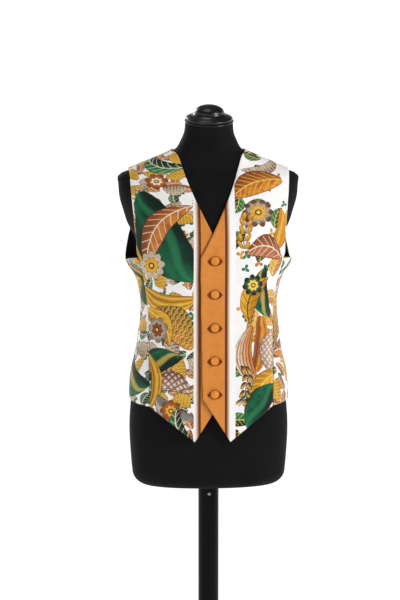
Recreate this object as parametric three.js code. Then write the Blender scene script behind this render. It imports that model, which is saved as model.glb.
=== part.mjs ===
// A sleeveless V-neck vest of printed silk, worn by a black torso dress form on a pole with a round base.
// Units are millimetres. +Z is up, the form faces -Y, and the origin is on the floor under the base's middle.
import * as THREE from "three";

// Driving dimensions of the vest
const CLOTH = 1.6; // wall of silk, interfacing and lining
const SEAM_GAP = 0.5; // between two pieces at a seam
const LAYER_GAP = 0.7; // between the two fronts where they lap
const HEM_POINT = { x: 36.5, z: 898 }; // lowest point of each front
const LAP = 24.5; // half of the width by which the fronts overlap
const LAP_FOOT = { x: -20, z: 988 }; // where the front edge turns into the slanted hem
const LAP_HEAD = { x: -LAP, z: 1279 }; // where the front edge turns into the neckline
const LAP_RAMP = 24; // width over which the upper front comes down beside the lap
const SEAM_FOOT = 968; // height of the side seam at the hem
const SEAM_HEAD = 1277; // height of the side seam at the armhole
const BACK_HEM = 992; // height of the hem at the middle of the back
const BACK_NECK = 1476; // height of the neckline at the middle of the back
const BACK_RISE = 1278; // height at the middle of the back that lies level with the underarm
const UNDERARM = { angle: 98, z: 1271 }; // where the back armhole starts to rise, behind the silhouette
const SHOULDER_END = 1455.6; // height of the shoulder seam at the armhole
const SHOULDER_NECK = 1496; // height of the shoulder seam at the neck

// Driving dimensions of the buttons
const BUTTON = { radius: 8.7, rim: 1.6, height: 5.2, x: 4, segments: 20 };
const BUTTON_HEIGHTS = [1273.5, 1204.5, 1135, 1067, 998];
const SEAT_GAP = 0.35; // between a button and the cloth under it

// Driving dimensions of the dress form and its stand
const FORM_FOOT = 793;
const FORM_ROUND = 26; // radius round the form's lower edge
const NECK_TOP = { y: -14, z: 1554, tilt: THREE.MathUtils.degToRad(13) };
const POLE_RADIUS = 21.5;
const BASE = { radius: 200, height: 12, bevel: 3 };
const COLLAR = { radius: 42, height: 20, clearance: 0.3 };
const SCREW = { z: 771, radius: 3.6, height: 2.4 };
const STAND_GAP = 0.3; // between two pieces of the stand that touch

// Fineness of the faceted solids
const FRONT_COLUMNS = 12;
const FRONT_ROWS = { foot: 3, edge: 11, neck: 13 };
const BACK_COLUMNS = { tongue: 4, back: 9 };
const BACK_ROWS = { up: 8, neck: 9 };
const FORM_RINGS = 34;
const FORM_SIDES = 36;
const STAND_SIDES = 32;

// The form's level sections: half width, depth in front of and behind the middle, the middle's own y,
// the power of the super-ellipse, and how far the section leans down towards the front.
const FORM_SECTIONS = [
  { z: 793, half: 158, front: 100, back: 112, mid: 0, power: 2.3, lean: 0 },
  { z: 840, half: 163, front: 104, back: 119, mid: 0, power: 2.3, lean: 0 },
  { z: 915, half: 167, front: 108, back: 124, mid: 0, power: 2.25, lean: 0 },
  { z: 985, half: 162, front: 106, back: 120, mid: 0, power: 2.2, lean: 0 },
  { z: 1060, half: 142, front: 97, back: 102, mid: 0, power: 2.2, lean: 0 },
  { z: 1130, half: 123, front: 88, back: 85, mid: 0, power: 2.2, lean: 0 },
  { z: 1170, half: 119, front: 86, back: 81, mid: 0, power: 2.2, lean: 0 },
  { z: 1215, half: 125, front: 93, back: 84, mid: 0, power: 2.2, lean: 0 },
  { z: 1265, half: 140, front: 110, back: 92, mid: 1, power: 2.2, lean: 0 },
  { z: 1310, half: 153, front: 121, back: 98, mid: 2, power: 2.3, lean: 0 },
  { z: 1345, half: 163, front: 116, back: 102, mid: 4, power: 2.35, lean: 0 },
  { z: 1385, half: 175, front: 102, back: 103, mid: 7, power: 2.35, lean: 0 },
  { z: 1420, half: 187, front: 84, back: 96, mid: 9, power: 2.25, lean: 0 },
  { z: 1438, half: 190, front: 73, back: 89, mid: 10, power: 2.15, lean: 0 },
  { z: 1447, half: 182, front: 66, back: 83, mid: 10, power: 2.05, lean: 0 },
  { z: 1454, half: 165, front: 61, back: 78, mid: 9, power: 2, lean: 0 },
  { z: 1467, half: 135, front: 57, back: 72, mid: 7, power: 2, lean: 0 },
  { z: 1481, half: 101, front: 55, back: 66, mid: 4, power: 2, lean: 0 },
  { z: 1492, half: 77, front: 54, back: 61, mid: 1, power: 2, lean: 0.03 },
  { z: 1500, half: 67, front: 53, back: 58, mid: -1, power: 2, lean: 0.06 },
  { z: 1514, half: 59, front: 51, back: 54, mid: -5, power: 2, lean: 0.12 },
  { z: 1536, half: 51, front: 49, back: 50, mid: -11, power: 2, lean: 0.2 },
  { z: 1554, half: 49.5, front: 49, back: 49, mid: -14, power: 2, lean: Math.tan(NECK_TOP.tilt) },
];

// The padding under the form's cover that fills each armhole below the shoulder plate: how far out it stands,
// its middle and half length along Y, and the heights where it starts, is full, begins to fall and ends.
const SHOULDER_PAD = { out: 8, mid: 8, half: 46, foot: 1308, full: 1352, level: 1384, head: 1430 };

// The vest's own sections below the chest, where it hangs clear of the form.
const HANGING_SECTIONS = [
  { z: 890, half: 160, front: 118, back: 128, mid: 0, power: 2.3 },
  { z: 940, half: 164, front: 118, back: 130, mid: 0, power: 2.3 },
  { z: 985, half: 166, front: 118, back: 130, mid: 0, power: 2.3 },
  { z: 1030, half: 163, front: 118, back: 125, mid: 0, power: 2.3 },
  { z: 1080, half: 151.5, front: 117.5, back: 114, mid: 0, power: 2.3 },
  { z: 1110, half: 147.5, front: 117, back: 108, mid: 0, power: 2.3 },
  { z: 1145, half: 143, front: 116.5, back: 103, mid: 0, power: 2.3 },
  { z: 1175, half: 141.5, front: 117, back: 101, mid: 0, power: 2.3 },
  { z: 1200, half: 144, front: 118, back: 101, mid: 0, power: 2.3 },
  { z: 1222, half: 149, front: 120, back: 103, mid: 0.5, power: 2.35 },
  { z: 1240, half: 157, front: 122, back: 106, mid: 1, power: 2.4 },
  { z: 1260, half: 170, front: 124, back: 110, mid: 1.5, power: 2.45 },
  { z: 1277, half: 175, front: 125.5, back: 113, mid: 2, power: 2.45 },
  { z: 1310, half: 173, front: 126, back: 114, mid: 3, power: 2.4 },
  { z: 1345, half: 172, front: 120, back: 113, mid: 4, power: 2.4 },
];

// Where the vest lies on the form, from this height up, its sections are the form's own, moved out.
const LYING_FROM = 1380;
const LYING_EASE = { lift: 1.9, half: 1.6, front: 2.8, back: 3.9 };

// Side seam and front armhole of a front, as seen from the front.
const SEAM_LINE = [
  { x: 127.5, z: SEAM_FOOT },
  { x: 128, z: 1045 },
  { x: 127.5, z: 1110 },
  { x: 128.5, z: 1165 },
  { x: 137, z: 1222 },
  { x: 149, z: SEAM_HEAD },
];
const ARMHOLE_FRONT = [
  { x: 149, z: SEAM_HEAD },
  { x: 152, z: 1284 },
  { x: 153.5, z: 1312 },
  { x: 157, z: 1347 },
  { x: 160, z: 1380 },
  { x: 163.5, z: 1420 },
  { x: 165.5, z: 1446 },
];

// Neckline of a front above the lap, as seen from the front.
const NECK_FRONT = [
  LAP_HEAD,
  { x: 0, z: 1327 },
  { x: 18, z: 1363.5 },
  { x: 35, z: 1399 },
  { x: 49, z: 1434 },
  { x: 59, z: 1464 },
  { x: 66, z: 1485 },
];

// Back armhole above the underarm and back neckline, as seen from behind.
const ARMHOLE_BACK = [
  { x: 169.5, z: 1292 },
  { x: 161.5, z: 1330 },
  { x: 154.5, z: 1370 },
  { x: 153.5, z: 1408 },
  { x: 158.5, z: 1436 },
];
const NECK_BACK = [
  { x: 0, z: BACK_NECK },
  { x: 24, z: 1477.5 },
  { x: 46, z: 1482.5 },
  { x: 61, z: 1489.5 },
];

// Lower edge of the underarm tongue of the back, from the side seam round to the rising armhole.
const TONGUE_TOP = [
  { angle: 75, z: 1272 },
  { angle: 90, z: 1267 },
];

// The largest folds: a soft ridge (or trough, if height is negative) from one point to another.
// side is -1 or 1 for one half of the vest and 0 for both, face is front or back.
const FOLDS = [
  { face: "front", side: -1, x0: 140, z0: 1160, x1: 60, z1: 1215, height: 2.6, width: 15 },
  { face: "front", side: -1, x0: 138, z0: 1120, x1: 70, z1: 1135, height: 2.2, width: 13 },
  { face: "front", side: -1, x0: 130, z0: 1082, x1: 78, z1: 1050, height: 2, width: 16 },
  { face: "front", side: 1, x0: 140, z0: 1172, x1: 66, z1: 1240, height: 2.4, width: 16 },
  { face: "front", side: 1, x0: 138, z0: 1130, x1: 84, z1: 1122, height: 2.4, width: 13 },
  { face: "front", side: 1, x0: 132, z0: 1092, x1: 72, z1: 1040, height: 2.2, width: 17 },
  { face: "front", side: 0, x0: 96, z0: 1250, x1: 104, z1: 1150, height: 2, width: 20 },
  { face: "front", side: 0, x0: 74, z0: 1060, x1: 62, z1: 945, height: 2.4, width: 22 },
  { face: "back", side: 0, x0: 130, z0: 1185, x1: 40, z1: 1150, height: 3, width: 15 },
  { face: "back", side: 0, x0: 120, z0: 1130, x1: 30, z1: 1115, height: 2.6, width: 14 },
  { face: "back", side: 0, x0: 60, z0: 1100, x1: 76, z1: 1000, height: 3, width: 22 },
];

// Finishes
const MATERIALS = {
  silk: { color: 0xe9d9c2, roughness: 0.42, metalness: 0 },
  band: { color: 0xd2863a, roughness: 0.45, metalness: 0 },
  jersey: { color: 0x17171a, roughness: 0.9, metalness: 0 },
  gloss: { color: 0x0c0c0d, roughness: 0.18, metalness: 0 },
  painted: { color: 0x1b1b1d, roughness: 0.45, metalness: 0.3 },
  screw: { color: 0x77777a, roughness: 0.35, metalness: 1 },
};

// One function of height for a table: a monotone cubic through each column's rows.
function tableOf(rows) {
  const names = Object.keys(rows[0]).filter((name) => name !== "z");
  const steps = rows.slice(1).map((row, i) => row.z - rows[i].z);
  const slopesOf = (name) => {
    const rises = steps.map((step, i) => (rows[i + 1][name] - rows[i][name]) / step);
    return rows.map((_, i) => {
      if (i === 0) return rises[0];
      if (i === steps.length) return rises[i - 1];
      if (rises[i - 1] * rises[i] <= 0) return 0;
      const near = 2 * steps[i] + steps[i - 1];
      const far = steps[i] + 2 * steps[i - 1];
      return (near + far) / (near / rises[i - 1] + far / rises[i]);
    });
  };
  const slopes = Object.fromEntries(names.map((name) => [name, slopesOf(name)]));
  return (z) => {
    const level = THREE.MathUtils.clamp(z, rows[0].z, rows.at(-1).z);
    const i = Math.min(rows.findLastIndex((row) => row.z <= level), steps.length - 1);
    const step = steps[i];
    const t = (level - rows[i].z) / step;
    const blend = (name) =>
      (1 + 2 * t) * (1 - t) ** 2 * rows[i][name] +
      t * (1 - t) ** 2 * step * slopes[name][i] +
      t * t * (3 - 2 * t) * rows[i + 1][name] +
      t * t * (t - 1) * step * slopes[name][i + 1];
    return Object.fromEntries(names.map((name) => [name, blend(name)]));
  };
}

// The point of a section at an angle from the front, in radians, positive towards +X.
function pointAt(section, angle, z, inset = 0) {
  const s = section(z);
  const bend = 2 / s.power;
  const sin = Math.sin(angle);
  const cos = Math.cos(angle);
  const across = Math.sign(sin) * (s.half - inset) * Math.abs(sin) ** bend;
  const depth = (cos > 0 ? inset - s.front : s.back - inset) * Math.abs(cos) ** bend;
  return new THREE.Vector3(across, s.mid + depth, z + depth * (s.lean ?? 0));
}

const formSection = tableOf(FORM_SECTIONS);

// The vest's sections: its own where it hangs, then the form's, moved out, where it lies on the form.
const vestSection = tableOf([
  ...HANGING_SECTIONS.map((row) => ({ ...row, lean: 0 })),
  ...FORM_SECTIONS.filter((row) => row.z > LYING_FROM && row.z < NECK_TOP.z - 50).map((row) => ({
    z: row.z + LYING_EASE.lift,
    half: row.half + LYING_EASE.half,
    front: row.front + LYING_EASE.front,
    back: row.back + LYING_EASE.back,
    mid: row.mid,
    power: row.power,
    lean: row.lean,
  })),
]);

// The angle of a point that is seen at x from the front, at one height.
function angleOf(x, z) {
  const s = vestSection(z);
  const share = Math.min(Math.abs(x) / s.half, 1);
  return Math.sign(x) * Math.asin(share ** (s.power / 2));
}

// The vest's surface normal, from small steps along both of its directions.
function normalAt(angle, z) {
  const step = 0.01;
  const rise = 1;
  const along = pointAt(vestSection, angle + step, z).sub(pointAt(vestSection, angle - step, z));
  const up = pointAt(vestSection, angle, z + rise).sub(pointAt(vestSection, angle, z - rise));
  return along.cross(up).normalize();
}

// How far the folds move a point out, on one half and face of the vest.
function foldAt(point, side, face) {
  let out = 0;
  for (const fold of FOLDS) {
    if (fold.face !== face || (fold.side !== 0 && fold.side !== side)) continue;
    const dx = fold.x1 - fold.x0;
    const dz = fold.z1 - fold.z0;
    const px = Math.abs(point.x) - fold.x0;
    const pz = point.z - fold.z0;
    const along = THREE.MathUtils.clamp((px * dx + pz * dz) / (dx * dx + dz * dz), 0, 1);
    const away = Math.hypot(px - along * dx, pz - along * dz) / fold.width;
    out += fold.height * Math.sin(Math.PI * (0.2 + 0.8 * (1 - along))) * Math.exp(-away * away);
  }
  return out;
}

// Places of the vest that are seen at x from the front, or from behind, and places by their angle.
const seenAt = ({ x, z }) => ({ angle: angleOf(x, z), z });
const seenBehind = ({ x, z }) => ({ angle: Math.PI - angleOf(x, z), z });
const turnedTo = ({ x, z }) => ({ angle: x / 100, z });

// A smooth line through points, as count + 1 places at even steps on the vest.
function lineOf(points, count, placeOf = seenAt) {
  const curve = new THREE.CatmullRomCurve3(
    points.map(({ x, z }) => new THREE.Vector3(x, z, 0)),
    false,
    "centripetal",
  );
  const fine = curve.getPoints(40 * (points.length - 1)).map((p) => placeOf({ x: p.x, z: p.y }));
  const spots = fine.map(({ angle, z }) => pointAt(vestSection, angle, z));
  const lengths = [0];
  spots.slice(1).forEach((spot, n) => lengths.push(lengths[n] + spot.distanceTo(spots[n])));
  return Array.from({ length: count + 1 }, (_, k) => {
    const wanted = (lengths.at(-1) * k) / count;
    const n = THREE.MathUtils.clamp(lengths.findIndex((length) => length >= wanted), 1, fine.length - 1);
    const t = (wanted - lengths[n - 1]) / (lengths[n] - lengths[n - 1]);
    return { angle: mix(fine[n - 1].angle, fine[n].angle, t), z: mix(fine[n - 1].z, fine[n].z, t) };
  });
}

// The same place as seen from the front or from behind.
const seenX = ({ angle, z }) => ({ x: pointAt(vestSection, angle, z).x, z });

const mix = THREE.MathUtils.lerp;
const quarter = Math.PI / 2;

// Angle that a gap takes up on the vest's surface.
const gapAngle = (gap, radius) => gap / radius;

// The side seam from hem to armhole, shared by a front and the back.
const seamRows = FRONT_ROWS.foot + FRONT_ROWS.edge;
const seamLine = () => lineOf(SEAM_LINE, seamRows);

// A front for the wearer's left (side 1) or right (side -1), as rows of places on the vest's surface.
function frontRows() {
  const foot = lineOf([HEM_POINT, LAP_FOOT], FRONT_ROWS.foot);
  const edge = lineOf([LAP_FOOT, LAP_HEAD], FRONT_ROWS.edge);
  const neckEnd = { angle: quarter - gapAngle(SEAM_GAP / 2, 55), z: SHOULDER_NECK };
  const armEnd = { angle: quarter - gapAngle(SEAM_GAP / 2, 60), z: SHOULDER_END };
  const neck = lineOf([...NECK_FRONT, seenX(neckEnd)], FRONT_ROWS.neck);
  const armhole = lineOf([...ARMHOLE_FRONT, seenX(armEnd)], FRONT_ROWS.neck);
  const inner = [...foot, ...edge.slice(1), ...neck.slice(1)];
  const outer = [...seamLine(), ...armhole.slice(1)];
  outer.forEach((place, j) => {
    if (j <= seamRows) place.angle -= gapAngle(SEAM_GAP / 2, 140);
  });
  const spread = (j, i) => {
    const t = i / FRONT_COLUMNS;
    const x = mix(seenX(inner[j]).x, seenX(outer[j]).x, t);
    return seenAt({ x, z: mix(inner[j].z, outer[j].z, t) });
  };
  const level = inner.length - 1 - FRONT_ROWS.neck;
  const shares = Array.from({ length: FRONT_COLUMNS + 1 }, (_, i) => {
    const at = spread(level, i).angle;
    return (at - inner[level].angle) / (outer[level].angle - inner[level].angle);
  });
  return inner.map((from, j) =>
    shares.map((share, i) => {
      if (j <= level) return i === FRONT_COLUMNS ? outer[j] : spread(j, i);
      return { angle: mix(from.angle, outer[j].angle, share), z: mix(from.z, outer[j].z, share) };
    }),
  );
}

// One half of the back as two blocks of rows: under the armhole, and from there up to the shoulder.
function backRows() {
  const corner = { angle: THREE.MathUtils.degToRad(UNDERARM.angle), z: UNDERARM.z };
  const seam = seamLine().map(({ angle, z }) => ({ angle: angle + gapAngle(SEAM_GAP / 2, 140), z }));
  const onTongue = [
    seam.at(-1),
    ...TONGUE_TOP.map(({ angle, z }) => ({ angle: THREE.MathUtils.degToRad(angle), z })),
    corner,
  ];
  const tongue = lineOf(
    onTongue.map(({ angle, z }) => ({ x: angle * 100, z })),
    BACK_COLUMNS.tongue,
    turnedTo,
  );
  const lower = seam.map((side, j) => {
    const t = j / seamRows;
    const middle = { angle: Math.PI, z: mix(BACK_HEM, BACK_RISE, t) };
    const hemShare = (corner.angle - seam[0].angle) / (Math.PI - seam[0].angle);
    const turn = { angle: corner.angle, z: mix(mix(seam[0].z, BACK_HEM, hemShare), corner.z, t) };
    const left = Array.from({ length: BACK_COLUMNS.tongue }, (_, i) => {
      const share = i / BACK_COLUMNS.tongue;
      const straight = { angle: mix(side.angle, turn.angle, share), z: mix(side.z, turn.z, share) };
      const turned = tongue[i].angle - mix(seam.at(-1).angle, corner.angle, share);
      const bowed = tongue[i].z - mix(seam.at(-1).z, corner.z, share);
      return { angle: straight.angle + turned * t ** 4, z: straight.z + bowed * t ** 4 };
    });
    const right = Array.from({ length: BACK_COLUMNS.back + 1 }, (_, i) => {
      const share = i / BACK_COLUMNS.back;
      return { angle: mix(turn.angle, middle.angle, share), z: mix(turn.z, middle.z, share) };
    });
    return [...left, ...right];
  });
  const armEnd = { angle: quarter + gapAngle(SEAM_GAP / 2, 75), z: SHOULDER_END };
  const neckEnd = { angle: quarter + gapAngle(SEAM_GAP / 2, 65), z: SHOULDER_NECK };
  const armhole = [seenX(corner), ...ARMHOLE_BACK, seenX(armEnd)];
  const side = lineOf(armhole, BACK_ROWS.up + BACK_ROWS.neck, seenBehind);
  const up = lineOf([{ x: 0, z: BACK_RISE }, { x: 0, z: BACK_NECK }], BACK_ROWS.up, seenBehind);
  const neck = lineOf([...NECK_BACK, seenX(neckEnd)], BACK_ROWS.neck, seenBehind);
  const inner = [...up, ...neck.slice(1)];
  const upper = side.slice(1).map((from, j) =>
    Array.from({ length: BACK_COLUMNS.back + 1 }, (_, i) => {
      const share = i / BACK_COLUMNS.back;
      const to = inner[j + 1];
      return { angle: mix(from.angle, to.angle, share), z: mix(from.z, to.z, share) };
    }),
  );
  return { lower, upper };
}

// How far a place of the upper front is moved out, so that it clears the front under it.
function lapLift(x) {
  const t = THREE.MathUtils.clamp((x - LAP - 2) / LAP_RAMP, 0, 1);
  return (CLOTH + LAYER_GAP) * (1 - t * t * (3 - 2 * t));
}

// A closed wall of cloth over a sheet of places: points on the surface and triangles between them.
function wallOf(places, triangles, outOf) {
  const inner = [];
  const outer = [];
  for (const { angle, z } of places) {
    const point = pointAt(vestSection, angle, z);
    const normal = normalAt(angle, z);
    const out = outOf(point, angle);
    inner.push(point.clone().addScaledVector(normal, out));
    outer.push(point.clone().addScaledVector(normal, out + CLOTH));
  }
  const count = places.length;
  const index = [];
  const uses = new Map();
  for (const [a, b, c] of triangles) {
    index.push(a + count, b + count, c + count, c, b, a);
    for (const [from, to] of [[a, b], [b, c], [c, a]]) {
      const key = Math.min(from, to) + "_" + Math.max(from, to);
      uses.set(key, uses.has(key) ? null : [from, to]);
    }
  }
  for (const edge of uses.values()) {
    if (edge) index.push(edge[0], edge[1], edge[1] + count, edge[0], edge[1] + count, edge[0] + count);
  }
  const geometry = new THREE.BufferGeometry().setFromPoints([...inner, ...outer]);
  return geometry.setIndex(index);
}

// Triangles of a grid whose rows hold the indices of its points, facing out for places on the +X half.
function gridTriangles(rows) {
  const triangles = [];
  for (let j = 0; j + 1 < rows.length; j++) {
    for (let i = 0; i + 1 < rows[j].length; i++) {
      const [a, b, c, d] = [rows[j][i], rows[j][i + 1], rows[j + 1][i + 1], rows[j + 1][i]];
      triangles.push([a, b, c], [a, c, d]);
    }
  }
  return triangles;
}

const flipped = (triangles) => triangles.map(([a, b, c]) => [a, c, b]);
const mirrored = (places) => places.map(({ angle, z }) => ({ angle: -angle, z }));

// The folds fade out in the lap, where the two fronts lie flat on each other.
const foldShare = (x) => THREE.MathUtils.smoothstep(Math.abs(x), LAP + 2, LAP + LAP_RAMP + 8);

// One front as a closed wall.
function frontGeometry(side) {
  const rows = frontRows();
  const width = rows[0].length;
  const places = rows.flat();
  const triangles = gridTriangles(rows.map((row, j) => row.map((_, i) => j * width + i)));
  const outOf = (point) => {
    const lift = side > 0 ? lapLift(point.x) : 0;
    return lift + foldAt(point, side, "front") * foldShare(point.x);
  };
  return side > 0 ? wallOf(places, triangles, outOf) : wallOf(mirrored(places), flipped(triangles), outOf);
}

// The back, cut in one piece, as a closed wall: both halves share the points of the middle line.
function backGeometry() {
  const { lower, upper } = backRows();
  const places = [];
  const shared = new Map();
  const add = (place, side) => {
    const middle = Math.abs(place.angle - Math.PI) < 1e-6;
    const key = place.z.toFixed(4);
    if (middle && shared.has(key)) return shared.get(key);
    places.push(side > 0 ? place : { angle: 2 * Math.PI - place.angle, z: place.z });
    if (middle) shared.set(key, places.length - 1);
    return places.length - 1;
  };
  const triangles = [];
  for (const side of [1, -1]) {
    const low = lower.map((row) => row.map((place) => add(place, side)));
    const high = upper.map((row) => row.map((place) => add(place, side)));
    const tied = [low.at(-1).slice(BACK_COLUMNS.tongue), ...high];
    const half = [...gridTriangles(low), ...gridTriangles(tied)];
    triangles.push(...(side > 0 ? half : flipped(half)));
  }
  const outOf = (point) => foldAt(point, Math.sign(point.x), "back") * (point.y > 0 ? 1 : 0);
  return wallOf(places, triangles, outOf);
}

// A ring of points closed into a solid with its two ends filled.
function loftOf(rings) {
  const sides = rings[0].length;
  const points = rings.flat();
  const index = [];
  for (let j = 0; j + 1 < rings.length; j++) {
    for (let i = 0; i < sides; i++) {
      const k = (i + 1) % sides;
      const [a, b, c, d] = [j * sides + i, j * sides + k, (j + 1) * sides + k, (j + 1) * sides + i];
      index.push(a, b, c, a, c, d);
    }
  }
  const centreOf = (ring) => ring.reduce((sum, p) => sum.add(p), new THREE.Vector3()).divideScalar(sides);
  points.push(centreOf(rings[0]), centreOf(rings.at(-1)));
  const last = (rings.length - 1) * sides;
  for (let i = 0; i < sides; i++) {
    const k = (i + 1) % sides;
    index.push(points.length - 2, k, i);
    index.push(points.length - 1, last + i, last + k);
  }
  return new THREE.BufferGeometry().setFromPoints(points).setIndex(index);
}

// Heights of the form's rings, at even steps along its outline as seen from the front and the side.
function ringHeights() {
  const low = FORM_FOOT + FORM_ROUND;
  const samples = 600;
  const lengths = [0];
  const heightOf = (n) => mix(low, NECK_TOP.z, n / samples);
  for (let n = 1; n <= samples; n++) {
    const [was, now] = [formSection(heightOf(n - 1)), formSection(heightOf(n))];
    const run = Math.hypot(now.half - was.half, now.front - was.front, heightOf(1) - heightOf(0));
    lengths.push(lengths.at(-1) + run);
  }
  return Array.from({ length: FORM_RINGS + 1 }, (_, k) => {
    const wanted = (lengths.at(-1) * k) / FORM_RINGS;
    return heightOf(Math.max(lengths.findIndex((length) => length >= wanted - 1e-9), 0));
  });
}

// How far the padding in the armholes stands out from the form's own section.
function padAt({ y, z }) {
  const { out, mid, half, foot, full, level, head } = SHOULDER_PAD;
  const share = Math.min(Math.abs(y - mid) / half, 1);
  const rise = THREE.MathUtils.smoothstep(z, foot, full);
  const fall = 1 - THREE.MathUtils.smoothstep(z, level, head);
  return out * Math.cos(quarter * share) ** 2 * rise * fall;
}

// The torso of the form, with a rounded lower edge and a neck that leans forward.
function torsoGeometry() {
  const corners = 4;
  const rounding = Array.from({ length: corners }, (_, k) => {
    const turn = (quarter * k) / corners;
    return { z: FORM_FOOT + FORM_ROUND * (1 - Math.cos(turn)), inset: FORM_ROUND * (1 - Math.sin(turn)) };
  });
  const levels = [...rounding, ...ringHeights().map((z) => ({ z, inset: 0 }))];
  const rings = levels.map(({ z, inset }) =>
    Array.from({ length: FORM_SIDES }, (_, i) => {
      const point = pointAt(formSection, (2 * Math.PI * i) / FORM_SIDES, z, inset);
      point.x += Math.sign(point.x) * padAt(point);
      return point;
    }),
  );
  return loftOf(rings);
}

// A solid turned round the Z axis from an outline of [radius, height] pairs, from the axis back to it.
function turned(outline, segments = STAND_SIDES) {
  const points = outline.map(([radius, height]) => new THREE.Vector2(radius, height));
  return new THREE.LatheGeometry(points, segments).rotateX(quarter);
}

function capGeometry() {
  return turned([
    [0, 0],
    [46, 0],
    [48.8, 1.6],
    [48.8, 4.4],
    [46.5, 7],
    [40, 9.6],
    [34, 12.4],
    [31.2, 16],
    [29, 21],
    [24, 26],
    [16, 29.6],
    [8, 31.2],
    [0, 31.6],
  ]);
}

function neckRingGeometry() {
  return turned([
    [0, 0],
    [50.5, 0],
    [51.2, 1.5],
    [50.5, 3],
    [0, 3],
  ]);
}

function baseGeometry() {
  const { radius, height, bevel } = BASE;
  return turned(
    [
      [0, 0],
      [radius, 0],
      [radius, height - bevel],
      [radius - bevel, height],
      [0, height],
    ],
    48,
  );
}

function collarGeometry() {
  const inside = POLE_RADIUS + COLLAR.clearance;
  return turned([
    [inside, 0],
    [COLLAR.radius, 0],
    [COLLAR.radius, 6],
    [inside + 6, COLLAR.height],
    [inside, COLLAR.height],
    [inside, 0],
  ]);
}

function poleGeometry() {
  const height = FORM_FOOT - BASE.height - 2 * STAND_GAP;
  return turned([
    [0, 0],
    [POLE_RADIUS, 0],
    [POLE_RADIUS, height],
    [0, height],
  ]);
}

// A covered button: flat behind, with a rounded rim and a low crown.
function buttonGeometry() {
  const { radius, rim, height, segments } = BUTTON;
  return turned(
    [
      [0, 0],
      [radius - 1.4, 0],
      [radius, rim],
      [radius - 0.5, height * 0.62],
      [radius * 0.68, height * 0.9],
      [0, height],
    ],
    segments,
  );
}

function screwGeometry() {
  const { radius, height } = SCREW;
  return turned(
    [
      [0, 0],
      [radius, 0],
      [radius, height * 0.6],
      [radius * 0.75, height],
      [radius * 0.4, height],
      [radius * 0.4, height * 0.4],
      [0, height * 0.4],
    ],
    16,
  );
}

const vest = new THREE.Group();

function addMesh(parent, name, geometry, finish) {
  const mesh = new THREE.Mesh(geometry, new THREE.MeshStandardMaterial(MATERIALS[finish]));
  mesh.name = name;
  parent.add(mesh);
  return mesh;
}

// The garment
addMesh(vest, "vest_front_left", frontGeometry(1), "silk");
addMesh(vest, "vest_front_right", frontGeometry(-1), "silk");
addMesh(vest, "vest_back", backGeometry(), "silk");

// The buttons, each on the outer face of the upper front and square to it
BUTTON_HEIGHTS.forEach((z, n) => {
  const angle = angleOf(BUTTON.x, z);
  const normal = normalAt(angle, z);
  const out = lapLift(BUTTON.x) + CLOTH + SEAT_GAP;
  const button = addMesh(vest, `button_${n + 1}`, buttonGeometry(), "band");
  button.position.copy(pointAt(vestSection, angle, z).addScaledVector(normal, out));
  button.quaternion.setFromUnitVectors(new THREE.Vector3(0, 0, 1), normal);
});

// The dress form
addMesh(vest, "form_torso", torsoGeometry(), "jersey");
const neck = new THREE.Group();
neck.position.set(0, NECK_TOP.y, NECK_TOP.z);
neck.rotation.x = NECK_TOP.tilt;
vest.add(neck);
addMesh(neck, "neck_ring", neckRingGeometry(), "painted").position.z = STAND_GAP;
addMesh(neck, "neck_cap", capGeometry(), "gloss").position.z = 3 + 2 * STAND_GAP;

// The stand
addMesh(vest, "base_plate", baseGeometry(), "painted");
addMesh(vest, "base_collar", collarGeometry(), "painted").position.z = BASE.height + STAND_GAP;
addMesh(vest, "pole", poleGeometry(), "painted").position.z = BASE.height + STAND_GAP;
const screw = addMesh(vest, "pole_screw", screwGeometry(), "screw");
screw.position.set(0, -POLE_RADIUS - STAND_GAP, SCREW.z);
screw.rotation.x = quarter;

export default vest;
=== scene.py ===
import math
from functools import partialmethod

import bmesh
import bpy
import numpy as np
from mathutils import Matrix, Vector


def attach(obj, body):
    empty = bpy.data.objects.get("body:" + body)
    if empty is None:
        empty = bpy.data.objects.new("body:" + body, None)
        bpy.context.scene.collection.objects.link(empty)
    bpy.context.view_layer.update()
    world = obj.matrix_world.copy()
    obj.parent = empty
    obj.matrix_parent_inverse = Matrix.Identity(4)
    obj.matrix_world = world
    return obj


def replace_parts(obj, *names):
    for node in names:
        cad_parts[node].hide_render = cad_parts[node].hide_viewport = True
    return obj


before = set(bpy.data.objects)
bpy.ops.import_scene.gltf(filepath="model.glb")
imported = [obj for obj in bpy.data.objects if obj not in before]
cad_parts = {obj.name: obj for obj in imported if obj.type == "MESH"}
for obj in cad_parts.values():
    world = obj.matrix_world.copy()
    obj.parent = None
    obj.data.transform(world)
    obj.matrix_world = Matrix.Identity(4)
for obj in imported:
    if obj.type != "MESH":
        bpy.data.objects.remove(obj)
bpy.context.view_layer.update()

MM = 0.001

# The vest's driving dimensions, in millimetres, as in the part's source
CLOTH = 1.6
LAYER_GAP = 0.7
SEAM_GAP = 0.5
HEM_POINT = (36.5, 898)
LAP = 24.5
LAP_FOOT = (-20, 988)
LAP_HEAD = (-LAP, 1279)
LAP_RAMP = 24
SEAM_FOOT = 968
SEAM_HEAD = 1277
BACK_HEM = 992
BACK_NECK = 1476
BACK_RISE = 1278
UNDERARM = (math.radians(98), 1271)
SHOULDER_END = 1455.6
SHOULDER_NECK = 1496
BUTTON_X = 4
BUTTON_RADIUS = 8.7
BUTTON_HEIGHTS = [1273.5, 1204.5, 1135, 1067, 998]
BUTTON_STEP = 68.5
SEAT_GAP = 0.35

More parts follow.
